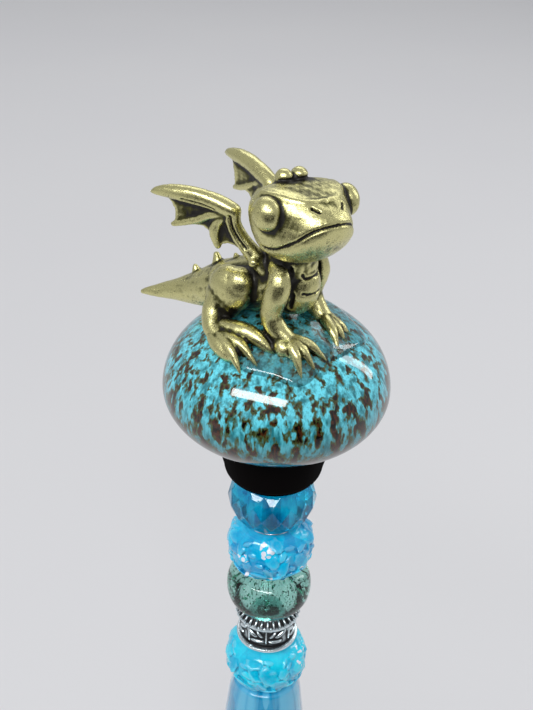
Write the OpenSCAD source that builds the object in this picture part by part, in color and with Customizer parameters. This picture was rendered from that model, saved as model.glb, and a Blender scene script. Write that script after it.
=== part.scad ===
// Hand-strung wand: a cast dragon on a ceramic knob, over large-hole beads on a steel rod,
// with a glass handle and a screw-on crystal point. The wand stands along Z, the dragon is at
// the top, and the origin is the middle of the glass handle, where the hand holds it.

/* [Glass handle] */
// Length of the blown glass handle
handle_len = 96; // [70:1:130]
// Diameter of the handle's two necks
handle_neck_d = 11.4; // [9:0.1:14]
// Diameter of the handle's belly
handle_belly_d = 18; // [14:0.5:26]

/* [Core rod] */
// Diameter of the steel rod that carries the beads
rod_d = 4.8; // [4:0.1:5.6]
// Height of the rod's shoulders over the thread on its two ends
shoulder_h = 0.4; // [0.3:0.1:0.8]
// Length of the thread in the knob's insert
upper_thread_len = 11.5; // [8:0.5:13]
// Length of the thread in the point's cap
lower_thread_len = 7; // [5:0.5:9]

/* [Clearances] */
// Radial clearance of a bead on the rod
bead_clear = 0.1; // [0.05:0.01:0.3]
// Axial gap between neighbours on the rod
axial_gap = 0.15; // [0.1:0.01:0.4]
// Radial gap of a glued or threaded joint
glue_gap = 0.05; // [0.02:0.01:0.15]

/* [Beads] */
// Diameter of the faceted glass beads
faceted_d = 13.8; // [11:0.1:18]
// Height of the faceted glass beads
faceted_h = 8.9; // [7:0.1:12]
// Diameter of the resin chip beads
chip_d = 14; // [12:0.1:18]
// Height of the resin chip beads over their flanges
chip_h = 9.3; // [7:0.1:12]
// Diameter of the glitter glass beads
glitter_d = 13.8; // [12:0.1:18]
// Height of the glass of the glitter beads
glitter_glass_h = 7.6; // [6:0.1:11]
// Length of the tube that stands out below the glitter glass
glitter_tail_h = 0.8; // [0.2:0.1:2]
// Wall of the plated core tubes
core_wall = 0.6; // [0.4:0.05:0.9]
// Diameter of the core tubes' rolled flanges
core_flange_d = 8; // [7.4:0.1:9.5]
// Thickness of the core tubes' rolled flanges
core_flange_t = 0.4; // [0.3:0.05:0.8]

/* [Silver spacers] */
// Diameter of the silver spacers
silver_d = 10.6; // [9:0.1:14]
// Height of the silver spacers
silver_h = 7.3; // [6:0.1:10]
// Diameter of the spacers' end faces
silver_end_d = 8.5; // [7.5:0.1:9]
// Number of flutes around each end
silver_flutes = 26; // [16:1:32]

/* [Ceramic knob] */
// Diameter of the ceramic knob
knob_d = 32.7; // [27:0.1:40]
// Height of the knob's dome above its widest line
knob_rise = 12; // [9:0.1:15]
// Depth of the knob's body below its widest line
knob_drop = 9; // [7.5:0.1:11]
// Height from the foot of the neck to the widest line
knob_neck_h = 16.2; // [13.5:0.1:20]
// Diameter of the foot of the neck
knob_foot_d = 15; // [13:0.1:18]
// Outer diameter of the threaded insert
insert_d = 8; // [7:0.1:9]
// Length of the threaded insert
insert_len = 12; // [10:0.1:13]

/* [Dragon] */
// Turn of the dragon's body from the X axis, towards the viewer at -Y
dragon_turn = 38; // [0:1:90]
// Sideways place of the dragon on the knob
dragon_shift = -1.5; // [-3:0.1:3]
// Radius of the pool of glue under the dragon
glue_r = 12.2; // [8:0.1:13]
// Thickness of the pool of glue at its middle
glue_t = 0.9; // [0.4:0.1:1.5]

/* [Point] */
// Diameter of the flange of the point's cap
cap_flange_d = 12; // [11:0.1:15]
// Thickness of the cap's flange
cap_flange_t = 2; // [1.5:0.1:3]
// Diameter of the cap's plain collar
cap_collar_d = 10; // [9.2:0.1:10.6]
// Length of the cap's plain collar
cap_collar_len = 8; // [6:0.5:12]
// Length of the cone between flange and collar
cap_cone_h = 4; // [3:0.5:6]
// Thickness of the washer above the cap
washer_t = 1; // [0.8:0.1:1.5]
// Diameter over the corners of the crystal
crystal_d = 8; // [6:0.1:8.2]
// Length of the crystal below the cap
crystal_len = 25; // [15:1:40]
// Depth that the crystal is set into the cap
crystal_seat = 5; // [3:0.5:6]

/* [Hidden] */

$fn = 64;
eps = 0.01;

thread_d = rod_d - 2 * shoulder_h;
rod_hole_r = rod_d / 2 + bead_clear;
core_r = rod_hole_r + core_wall;
core_hole_r = core_r + glue_gap;
glitter_h = glitter_glass_h + glitter_tail_h + core_flange_t;

// Heights of the stack above the handle, from the handle up
z_chip_lower = handle_len / 2 + axial_gap;
z_silver_upper = z_chip_lower + chip_h + axial_gap;
z_glitter_upper = z_silver_upper + silver_h + axial_gap;
z_chip_upper = z_glitter_upper + glitter_h + axial_gap;
z_faceted_upper = z_chip_upper + chip_h + axial_gap;
z_foot = z_faceted_upper + faceted_h + axial_gap;
z_knob = z_foot + knob_neck_h;

// Heights of the stack below the handle, from the handle down
z_silver_tail = -handle_len / 2 - axial_gap - silver_h;
z_glitter_tail = z_silver_tail - axial_gap - glitter_h;
z_chip_tail = z_glitter_tail - axial_gap - chip_h;
z_faceted_tail = z_chip_tail - axial_gap - faceted_h;
z_washer = z_faceted_tail - axial_gap - washer_t;
z_shoulder = z_washer - axial_gap;

// A barrel: a band between two end circles, with an elliptical side of n steps
function barrel(r, end_r, h, full = 2, n = 18) = [for (i = [0:n])
    let (a = -90 + 180 * i / n)
    [end_r + (r - end_r) * pow(cos(a), 2 / full), h / 2 * (1 + sign(a) * pow(abs(sin(a)), 2 / full))]];

module ring(points, hole_r) {
    difference() {
        rotate_extrude() polygon(concat([[0, points[0][1]]], points, [[0, points[len(points) - 1][1]]]));
        translate([0, 0, points[0][1] - 1]) cylinder(r = hole_r, h = points[len(points) - 1][1]
            - points[0][1] + 2);
    }
}

// Beads

// A bead cut all over in flat facets, with rings of corners that are turned half a facet apart
module faceted_bead() {
    sides = 12;
    rows = [[0, 0.60, 0], [0.16, 0.84, 0.5], [0.5, 1, 0], [0.84, 0.84, 0.5], [1, 0.60, 0]];
    difference() {
        hull() for (row = rows)
            translate([0, 0, row[0] * (faceted_h - eps)]) rotate([0, 0, row[2] * 360 / sides])
                cylinder(r = row[1] * faceted_d / 2, h = eps, $fn = sides);
        translate([0, 0, -1]) cylinder(r = rod_hole_r, h = faceted_h + 2);
    }
}

// A resin bead with rows of flat chips cut round it
module chip_bead() {
    body_h = chip_h - 2 * core_flange_t;
    end_r = core_flange_d / 2 + 0.4;
    chips = 10;
    tilts = [-44, -16, 16, 44];
    translate([0, 0, core_flange_t]) difference() {
        ring(barrel(chip_d / 2, end_r, body_h, 2.3), core_hole_r);
        for (row = [0:len(tilts) - 1], i = [0:chips - 1])
            translate([0, 0, body_h / 2]) rotate([0, 0, (i + row / 2) * 360 / chips])
                rotate([0, -tilts[row], 0])
                    translate([chip_d / 2 - 0.35 - 1.1 * pow(sin(tilts[row]), 2), -3, -3])
                        cube([3, 6, 6]);
    }
}

// A plated tube through a bead, with a rolled flange at each end
module core_tube(h) {
    difference() {
        union() {
            cylinder(r = core_r, h = h);
            cylinder(r = core_flange_d / 2, h = core_flange_t);
            translate([0, 0, h - core_flange_t]) cylinder(r = core_flange_d / 2, h = core_flange_t);
        }
        translate([0, 0, -1]) cylinder(r = rod_hole_r, h = h + 2);
    }
}

module glitter_glass() {
    translate([0, 0, glitter_tail_h])
        ring(barrel(glitter_d / 2, core_flange_d / 2 + 0.3, glitter_glass_h), core_hole_r);
}

// A cast silver spacer: fluted ends, a plain rim at the foot and raised petals round the side
module silver_spacer() {
    bevel = (silver_d - silver_end_d) / 2;
    band_r = silver_d / 2 - 0.35;
    petals = 12;
    side = silver_h - 2 * bevel - 1.2;
    profile = [[silver_end_d / 2, 0], [silver_d / 2, bevel], [silver_d / 2, bevel + 0.6],
        [band_r, bevel + 0.6], [band_r, silver_h - bevel - 0.6],
        [silver_d / 2, silver_h - bevel - 0.6], [silver_d / 2, silver_h - bevel],
        [silver_end_d / 2, silver_h]];
    difference() {
        ring(profile, rod_hole_r);
        for (i = [0:silver_flutes - 1])
            rotate([0, 0, i * 360 / silver_flutes])
                translate([silver_end_d / 2 + 0.15, 0, silver_h + 0.1]) rotate([0, 135, 0])
                    cylinder(r = 0.3, h = 4, center = true, $fn = 16);
    }
    intersection() {
        difference() {
            translate([0, 0, bevel + 0.6]) cylinder(r = silver_d / 2, h = side);
            cylinder(r = band_r - 0.1, h = silver_h);
        }
        for (i = [0:petals - 1])
            rotate([0, 0, i * 360 / petals]) translate([0, 0, silver_h / 2 + 0.55 * (i % 2 == 0 ? 1 : -1)])
                rotate([0, 90, 0]) cylinder(r = 1.1, h = silver_d);
    }
}

// Handle

// The handle's outer radius at a height above its middle
function handle_r(z) = handle_neck_d / 2 + (handle_belly_d - handle_neck_d) / 2
    * pow(sin(90 * (1 - min(1, abs(z) / (handle_len / 2)))), 0.82);

module glass_handle() {
    steps = 40;
    lip = 0.6;
    side = [for (i = [0:steps]) let (z = handle_len * (i / steps - 0.5)) [handle_r(z), z]];
    points = concat([[side[0][0] - lip, side[0][1]], [side[0][0], side[0][1] + lip]],
        [for (i = [1:steps - 1]) side[i]],
        [[side[steps][0], side[steps][1] - lip], [side[steps][0] - lip, side[steps][1]]]);
    color("deepskyblue") ring(points, rod_d / 2 + glue_gap);
}

// Rod, insert and knob

module core_rod() {
    color("silver") {
        translate([0, 0, z_shoulder]) cylinder(d = rod_d, h = z_foot - z_shoulder);
        translate([0, 0, z_foot - eps]) cylinder(d = thread_d, h = upper_thread_len + eps);
        translate([0, 0, z_shoulder - lower_thread_len]) cylinder(d = thread_d, h = lower_thread_len + eps);
    }
}

// A brass bush with two rings of grip that the glue keys into
module knob_insert() {
    groove = 0.5;
    color("goldenrod") translate([0, 0, z_foot]) difference() {
        union() {
            cylinder(d = insert_d - 2 * groove, h = insert_len);
            for (part = [0, 2, 4])
                translate([0, 0, part * insert_len / 5]) cylinder(d = insert_d, h = insert_len / 5);
        }
        translate([0, 0, -1]) cylinder(d = thread_d + 2 * glue_gap, h = insert_len + 2);
    }
}

// The dome's profile from its top to the knob's widest line, and its height at a radius
dome = [for (i = [0:20]) let (a = 90 * i / 20) [knob_d / 2 * sin(a), knob_rise * cos(a)]];
function dome_z(r) = lookup(r, dome);

module ceramic_knob() {
    n = 20;
    foot_r = knob_foot_d / 2;
    edge = 1.4;
    cove_r = foot_r + 1.4;
    cove_a = acos(cove_r / (knob_d / 2));
    under = [for (i = [1:n]) let (a = cove_a * i / n) [knob_d / 2 * cos(a), -knob_drop * sin(a)]];
    foot = [for (i = [0:6]) let (a = 90 * i / 6)
        [foot_r - edge + edge * cos(a), -knob_neck_h + edge - edge * sin(a)]];
    color("turquoise") translate([0, 0, z_knob]) difference() {
        rotate_extrude() polygon(concat(dome, under, foot, [[0, -knob_neck_h]]));
        translate([0, 0, -knob_neck_h - 1]) cylinder(d = insert_d + 2 * glue_gap,
            h = insert_len + 1.2);
    }
}

// The glue lies on the dome and thins out to nothing at its edge
module glue_pool() {
    under = [for (p = dome) if (p[0] < glue_r - 0.1) p, [glue_r, dome_z(glue_r)]];
    over = [for (i = [len(under) - 2:-1:0])
        under[i] + [0, glue_t * (1 - pow(under[i][0] / glue_r, 4))]];
    color("lightcyan") translate([0, 0, z_knob]) rotate_extrude() polygon(concat(under, over));
}

// Dragon: X is forward, Y its left, Z up from the widest line of a knob with a 12 mm dome.
// Each ball is a centre and a radius.
hips = [[-7, 0, 13.9], 3.7];
waist = [[-2.5, 0, 15.8], 3.9];
chest = [[2.9, 0, 17.4], 3.9];
nape = [[3.6, -0.3, 21.4], 3.2];
tail = [[[-13, -0.2, 11.4], 2.7], [[-17.5, -1.4, 10.1], 1.6], [[-21.2, -2.7, 8.7], 0.5]];
front_leg = [[[2.6, -3.2, 19.6], 1.9], [[3.8, -4.1, 16.2], 1.6], [[4.3, -4, 12.8], 1.4]];
front_wrist = [5.4, -4];
front_toes = [[9.4, -5.9], [9.9, -3.7], [10.1, -1.4]];
hind_thigh = [[[-3.2, -4.6, 17], 2.9], [[-4.4, -5.7, 14.2], 2.3]];
hind_wrist = [-2.8, -7.5];
hind_toes = [[2.9, -10.1], [4.2, -8.4], [4.7, -6.2]];
wing_shoulder = [0.6, -2, 18.6];
wing_root = [-0.9, -3, 22];
wing_wrist = [-3.4, -4.5, 28.5];
wing_tips = [[-14.7, -8, 29], [-12, -6.8, 23.4], [-5.8, -4.7, 21.4]];
wing_bones = [0.7, 0.5, 0.45];
spikes = [[[-14.4, -0.5, 12.4], 2.6], [[-9.8, 0, 16.2], 2.2]];
head_at = [5.5, -1, 28.2];
head_turn = [-4, -21.6, -14.8];

function rise() = knob_rise - 12;
function lift(p) = [p[0], p[1], p[2] + rise()];
// A point on the dome under a place on the dragon, raised by h
function on_dome(xy, h) = [xy[0], xy[1], dome_z(norm([xy[0], xy[1] + dragon_shift])) + h];

module ball(at, r) { translate(at) sphere(r = r, $fn = 14); }
module limb(a, b) { hull() { ball(a[0], a[1]); ball(b[0], b[1]); } }
module chain(balls) { for (i = [0:len(balls) - 2]) limb(balls[i], balls[i + 1]); }
module both() { children(); mirror([0, 1, 0]) children(); }

module foot(wrist, toes, r) {
    heel = [on_dome(wrist, r), r];
    for (toe = toes) {
        knuckle = [0.45 * wrist[0] + 0.55 * toe[0], 0.45 * wrist[1] + 0.55 * toe[1]];
        limb(heel, [on_dome(knuckle, 0.9), 0.8]);
        limb([on_dome(knuckle, 0.9), 0.8], [on_dome(toe, 0.3), 0.25]);
    }
}

module wing() {
    both() translate([0, 0, rise()]) {
        chain([[wing_shoulder, 1.6], [wing_root, 1.1], [wing_wrist, 1]]);
        for (i = [0:2]) limb([wing_wrist, 1], [wing_tips[i], wing_bones[i]]);
        for (i = [0:1]) hull() {
            ball(wing_wrist, 0.6);
            ball(wing_tips[i], 0.3);
            ball(wing_tips[i + 1], 0.3);
        }
        hull() { ball(wing_wrist, 0.6); ball(wing_tips[2], 0.3); ball(wing_root, 0.6); }
    }
}

module head() {
    translate(lift(head_at)) rotate([0, 0, head_turn[2]]) rotate([0, head_turn[1], 0])
        rotate([head_turn[0], 0, 0]) {
            hull() {
                translate([-1, 0, 0.8]) scale([4.4, 6, 4.1]) sphere(r = 1, $fn = 24);
                translate([4.6, 0, -0.9]) scale([3, 4.4, 2]) sphere(r = 1, $fn = 24);
                translate([0.5, 0, -2.6]) scale([4.6, 5.2, 2.4]) sphere(r = 1, $fn = 24);
            }
            both() {
                translate([0.9, -4.9, 1.3]) scale([2.4, 2.1, 2.6]) sphere(r = 1, $fn = 18);
                ball([-1.9, -1, 4.8], 1.05);
            }
        }
}

module dragon_figure() {
    lifted = function (balls) [for (b = balls) [lift(b[0]), b[1]]];
    color("darkkhaki") translate([0, 0, z_knob]) rotate([0, 0, -dragon_turn])
        translate([0, dragon_shift, 0]) difference() {
            union() {
                chain(lifted(concat([tail[2], tail[1], tail[0]], [hips, waist, chest, nape])));
                limb([lift(nape[0]), nape[1]], [lift(head_at), 3]);
                for (spike = spikes) translate(lift(spike[0])) rotate([0, -25, 0])
                    cylinder(r1 = 1.2, r2 = 0.2, h = spike[1], $fn = 12);
                both() {
                    chain(concat(lifted(front_leg), [[on_dome(front_wrist, 1.2), 1.2]]));
                    foot(front_wrist, front_toes, 1.2);
                    chain(concat(lifted(hind_thigh), [[on_dome(hind_wrist, 1.3), 1.3]]));
                    foot(hind_wrist, hind_toes, 1.3);
                }
                wing();
                head();
            }
            translate([0, -dragon_shift, 0]) scale([knob_d / 2, knob_d / 2, knob_rise])
                sphere(r = 1, $fn = 96);
        }
}

// Point

module end_washer() {
    color("silver") translate([0, 0, z_washer]) difference() {
        cylinder(d = cap_flange_d - 1, h = washer_t);
        translate([0, 0, -1]) cylinder(r = rod_hole_r, h = washer_t + 2);
    }
}

module point_cap() {
    cap_len = cap_flange_t + cap_cone_h + cap_collar_len;
    z_cap = z_shoulder - cap_len;
    knurls = 24;
    color("silver") translate([0, 0, z_cap]) difference() {
        rotate_extrude() polygon([[0, 0], [cap_collar_d / 2, 0], [cap_collar_d / 2, cap_collar_len],
            [cap_flange_d / 2, cap_collar_len + cap_cone_h], [cap_flange_d / 2, cap_len], [0, cap_len]]);
        translate([0, 0, cap_len - lower_thread_len - 0.5])
            cylinder(d = thread_d + 2 * glue_gap, h = lower_thread_len + 1.5);
        translate([0, 0, -1]) cylinder(d = crystal_d + 2 * glue_gap, h = crystal_seat + 1);
        for (i = [0:knurls - 1]) rotate([0, 0, i * 360 / knurls])
            translate([cap_flange_d / 2 + 0.15, 0, cap_len - cap_flange_t]) cylinder(r = 0.4,
                h = cap_flange_t + 1, $fn = 16);
    }
}

module crystal_point() {
    z_top = z_shoulder - cap_flange_t - cap_cone_h - cap_collar_len + crystal_seat;
    tip_h = 0.36 * crystal_len;
    prism_h = crystal_len + crystal_seat - tip_h;
    color("azure") translate([0, 0, z_top - prism_h]) {
        cylinder(d = crystal_d, h = prism_h, $fn = 6);
        mirror([0, 0, 1]) cylinder(d1 = crystal_d, d2 = 0.6, h = tip_h, $fn = 6);
    }
}

module faceted_bead_upper() { color("dodgerblue") translate([0, 0, z_faceted_upper]) faceted_bead(); }
module faceted_bead_tail() { color("dodgerblue") translate([0, 0, z_faceted_tail]) faceted_bead(); }
module chip_bead_upper() { color("deepskyblue") translate([0, 0, z_chip_upper]) chip_bead(); }
module chip_bead_lower() { color("turquoise") translate([0, 0, z_chip_lower]) chip_bead(); }
module chip_bead_tail() { color("deepskyblue") translate([0, 0, z_chip_tail]) chip_bead(); }
module chip_core_upper() { color("silver") translate([0, 0, z_chip_upper]) core_tube(chip_h); }
module chip_core_lower() { color("silver") translate([0, 0, z_chip_lower]) core_tube(chip_h); }
module chip_core_tail() { color("silver") translate([0, 0, z_chip_tail]) core_tube(chip_h); }
module glitter_bead_upper() { color("mediumseagreen") translate([0, 0, z_glitter_upper]) glitter_glass(); }
module glitter_bead_tail() { color("mediumseagreen") translate([0, 0, z_glitter_tail]) glitter_glass(); }
module glitter_core_upper() { color("silver") translate([0, 0, z_glitter_upper]) core_tube(glitter_h); }
module glitter_core_tail() { color("silver") translate([0, 0, z_glitter_tail]) core_tube(glitter_h); }
module silver_spacer_upper() { color("silver") translate([0, 0, z_silver_upper]) silver_spacer(); }
module silver_spacer_tail() { color("silver") translate([0, 0, z_silver_tail]) silver_spacer(); }

dragon_figure();
glue_pool();
ceramic_knob();
knob_insert();
core_rod();
faceted_bead_upper();
chip_bead_upper();
chip_core_upper();
glitter_bead_upper();
glitter_core_upper();
silver_spacer_upper();
chip_bead_lower();
chip_core_lower();
glass_handle();
silver_spacer_tail();
glitter_bead_tail();
glitter_core_tail();
chip_bead_tail();
chip_core_tail();
faceted_bead_tail();
end_washer();
point_cap();
crystal_point();
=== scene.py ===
"""Looks of a hand-strung wand: a cast baby dragon on a glazed knob, over beads, with a glass handle.

Pieces are modelled in millimetres in the wand's own frame and brought to metres when finished.
"""

import sys
import logging
import math
from contextlib import contextmanager
from dataclasses import dataclass
from enum import Enum
from typing import Callable, ClassVar, Iterator, Optional, Sequence

import bpy
import numpy as np
from mathutils import Euler, Matrix, Vector
from mathutils.bvhtree import BVHTree


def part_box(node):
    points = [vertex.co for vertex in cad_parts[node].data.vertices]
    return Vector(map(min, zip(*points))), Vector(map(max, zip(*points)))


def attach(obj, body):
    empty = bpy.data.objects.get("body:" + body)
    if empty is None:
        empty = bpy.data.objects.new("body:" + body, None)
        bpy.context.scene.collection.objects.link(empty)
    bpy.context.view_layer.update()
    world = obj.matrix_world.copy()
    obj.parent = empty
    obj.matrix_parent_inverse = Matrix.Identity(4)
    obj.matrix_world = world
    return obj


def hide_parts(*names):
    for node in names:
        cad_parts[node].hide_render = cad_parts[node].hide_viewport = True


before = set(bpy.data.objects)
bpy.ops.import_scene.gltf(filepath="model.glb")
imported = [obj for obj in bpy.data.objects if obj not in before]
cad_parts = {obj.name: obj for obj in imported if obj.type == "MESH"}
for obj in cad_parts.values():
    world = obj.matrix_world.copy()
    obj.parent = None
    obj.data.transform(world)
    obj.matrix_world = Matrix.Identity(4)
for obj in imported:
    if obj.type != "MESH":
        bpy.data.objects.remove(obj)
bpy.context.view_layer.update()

DOME_RISE = 12.0        # the knob's dome over its widest line, in millimetres
THINNEST = 0.02         # the smallest radius of a limb, in millimetres
FLOOR_GAP = 0.0005      # from the point's tip down to the floor, in metres
MM = 0.001
LOG = logging.getLogger("wand")

Point = tuple[float, float, float]
Ball = tuple[float, float, float, float]
Outline = Sequence[tuple[float, float]]
Colour = tuple[float, float, float]


# ---------------------------------------------------------------- bench: calls shared by all pieces


def node_span(node: str) -> tuple[float, float]:
    """Lowest and highest height of a CAD node, in millimetres.

    Args:
        node: the CAD node's name.

    Returns:
        (low, high) along the wand.
    """
    low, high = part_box(node)
    return low[2] / MM, high[2] / MM


def node_radius(node: str) -> float:
    """Half the width of a CAD node across the wand, in millimetres."""
    low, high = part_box(node)
    return (high[0] - low[0]) / 2 / MM


def select_only(*objects: bpy.types.Object) -> None:
    """Deselects everything, then selects the given objects and makes the first one active."""
    bpy.ops.object.select_all(action="DESELECT")
    for one in objects:
        one.select_set(True)
    bpy.context.view_layer.objects.active = objects[0]


@contextmanager
def editing(piece: bpy.types.Object, element: str = "VERT") -> Iterator[None]:
    """Opens a piece in edit mode for a with-block.

    Args:
        piece: the mesh object.
        element: VERT, EDGE or FACE select mode.

    Yields:
        Nothing; edit mode is left at the end.
    """
    select_only(piece)
    bpy.ops.object.mode_set(mode="EDIT")
    bpy.ops.mesh.select_mode(type=element)
    bpy.ops.mesh.select_all(action="SELECT")
    try:
        yield
    finally:
        bpy.ops.object.mode_set(mode="OBJECT")


def active() -> bpy.types.Object:
    """The object that an operator has just made."""
    return bpy.context.view_layer.objects.active


def run_modifier(piece: bpy.types.Object, kind: str, **settings: object) -> None:
    """Adds a modifier with its settings and applies it.

    Args:
        piece: the mesh object.
        kind: the modifier's type, such as REMESH.
        settings: the modifier's own properties.
    """
    modifier = piece.modifiers.new(kind.title(), kind)
    for key, value in settings.items():
        setattr(modifier, key, value)
    select_only(piece)
    bpy.ops.object.modifier_apply(modifier=modifier.name)


def joined(pieces: Sequence[bpy.types.Object], name: str) -> bpy.types.Object:
    """Joins mesh objects into one and bakes its place into its mesh.

    Args:
        pieces: the objects, of which the first one stays.
        name: the result's name.

    Returns:
        The joined object.
    """
    select_only(*pieces)
    if len(pieces) > 1:
        bpy.ops.object.join()
    piece = active()
    piece.name = name
    bpy.ops.object.transform_apply(location=True, rotation=True, scale=True)
    return piece


def tidy_mesh(piece: bpy.types.Object, merge: float = 0.004) -> None:
    """Merges doubled points and turns all faces outwards."""
    with editing(piece):
        bpy.ops.mesh.remove_doubles(threshold=merge)
        bpy.ops.mesh.normals_make_consistent(inside=False)


def smooth(piece: bpy.types.Object, angle: float = 40.0) -> None:
    """Shades a piece smooth, with edges sharper than the angle kept."""
    select_only(piece)
    bpy.ops.object.shade_smooth_by_angle(angle=math.radians(angle))


def lathe(name: str, outline: Outline, steps: int = 96) -> bpy.types.Object:
    """Turns an outline about the wand's axis, as on a lathe.

    Args:
        name: the piece's name.
        outline: (radius, height) points from one end to the other; a ring's outline comes back
            to its first point.
        steps: facets around.

    Returns:
        The closed piece.
    """
    bpy.ops.object.select_all(action="DESELECT")
    bpy.ops.mesh.primitive_plane_add(size=1.0)
    piece = active()
    piece.name = name
    with editing(piece):
        bpy.ops.mesh.merge(type="CENTER")
        bpy.ops.transform.translate(value=(outline[0][0], 0.0, outline[0][1]))
        for (r0, z0), (r1, z1) in zip(outline, outline[1:]):
            bpy.ops.mesh.extrude_region_move(
                TRANSFORM_OT_translate={"value": (r1 - r0, 0.0, z1 - z0)})
        bpy.ops.mesh.select_all(action="SELECT")
        bpy.ops.mesh.spin(steps=steps, angle=math.tau, center=(0, 0, 0), axis=(0, 0, 1))
    tidy_mesh(piece)
    return piece


def ball(at: Sequence[float], radii: Sequence[float], turn: Sequence[float] = (0, 0, 0),
         segments: int = 24) -> bpy.types.Object:
    """Adds an ellipsoid.

    Args:
        at: its centre.
        radii: its three radii.
        turn: its Euler turn in degrees.
        segments: facets around.

    Returns:
        The ellipsoid, unapplied.
    """
    bpy.ops.mesh.primitive_uv_sphere_add(
        segments=segments, ring_count=segments * 2 // 3, radius=1.0, location=at,
        rotation=[math.radians(a) for a in turn], scale=radii)
    return active()


def through(points: Sequence[Sequence[float]], steps: int) -> list[Vector]:
    """A smooth path through points of any dimension (Catmull-Rom).

    Args:
        points: the points to pass.
        steps: samples for each span.

    Returns:
        The samples, ends included.
    """
    p = [np.array(q, float) for q in points]
    p = [2 * p[0] - p[1], *p, 2 * p[-1] - p[-2]]
    path = []
    for i in range(1, len(p) - 2):
        for j in range(steps):
            t = j / steps
            path.append(0.5 * (2 * p[i] + (p[i + 1] - p[i - 1]) * t
                               + (2 * p[i - 1] - 5 * p[i] + 4 * p[i + 1] - p[i + 2]) * t ** 2
                               + (3 * p[i] - p[i - 1] - 3 * p[i + 1] + p[i + 2]) * t ** 3))
    return [Vector(q) for q in (*path, p[-2])]


def limb(balls: Sequence[Ball], steps: int = 5) -> list[bpy.types.Object]:
    """A round limb that swells and thins smoothly through balls.

    Args:
        balls: (x, y, z, radius) from end to end.
        steps: samples between balls.

    Returns:
        A tube and its two round ends.
    """
    path = through(balls, steps)
    bpy.ops.object.select_all(action="DESELECT")
    bpy.ops.curve.primitive_nurbs_path_add()
    rope = active()
    rope.data.splines.clear()
    spline = rope.data.splines.new("POLY")
    spline.points.add(len(path) - 1)
    for point, sample in zip(spline.points, path):
        point.co = (*sample[:3], 1.0)
        point.radius = max(sample[3], THINNEST)
    rope.data.dimensions = "3D"
    rope.data.bevel_depth = 1.0
    rope.data.bevel_resolution = 6
    rope.data.use_fill_caps = True
    select_only(rope)
    bpy.ops.object.convert(target="MESH")
    ends = [ball(end[:3], [max(end[3], THINNEST)] * 3, segments=18) for end in (path[0], path[-1])]
    return [rope, *ends]


def mirrored(pieces: Sequence[bpy.types.Object]) -> list[bpy.types.Object]:
    """Copies pieces to the other side of the plane y = 0.

    Args:
        pieces: the objects of one side.

    Returns:
        The copies, with faces outwards.
    """
    copies = []
    for piece in pieces:
        copy = piece.copy()
        copy.data = piece.data.copy()
        bpy.context.collection.objects.link(copy)
        copy.matrix_world = Matrix.Diagonal((1, -1, 1, 1)) @ piece.matrix_world
        copies.append(copy)
    return copies


def move_all(pieces: Sequence[bpy.types.Object], place: Matrix) -> None:
    """Moves pieces by a matrix in the modelling frame."""
    for piece in pieces:
        piece.matrix_world = place @ piece.matrix_world


def points_of(piece: bpy.types.Object) -> np.ndarray:
    """A piece's points as an (n, 3) array."""
    flat = np.empty(len(piece.data.vertices) * 3)
    piece.data.vertices.foreach_get("co", flat)
    return flat.reshape(-1, 3)


def set_points(piece: bpy.types.Object, points: np.ndarray) -> None:
    """Writes a piece's points back."""
    piece.data.vertices.foreach_set("co", points.ravel())
    piece.data.update()


def hand_over(piece: bpy.types.Object, body: str, material: bpy.types.Material,
              nodes: Sequence[str] = ()) -> None:
    """Brings a finished piece to metres, gives it its body and its material, and hides the CAD nodes it
    stands for.

    Args:
        piece: the piece, modelled in millimetres.
        body: the CAD body it rides on.
        material: its finish.
        nodes: the CAD nodes it stands for.
    """
    select_only(piece)
    piece.scale = (MM, MM, MM)
    bpy.ops.object.transform_apply(location=True, rotation=True, scale=True)
    piece.data.materials.clear()
    piece.data.materials.append(material)
    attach(piece, body)
    if nodes:
        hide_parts(*nodes)
    LOG.info("%s: %d faces on %s", piece.name, len(piece.data.polygons), body)


# ---------------------------------------------------------------- shader trees


def tone(red: int, green: int, blue: int) -> Colour:
    """A linear colour from its 8-bit display values."""
    def straight(value: int) -> float:
        """One channel made linear."""
        share = value / 255
        return share / 12.92 if share <= 0.04045 else ((share + 0.055) / 1.055) ** 2.4
    return straight(red), straight(green), straight(blue)


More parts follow.
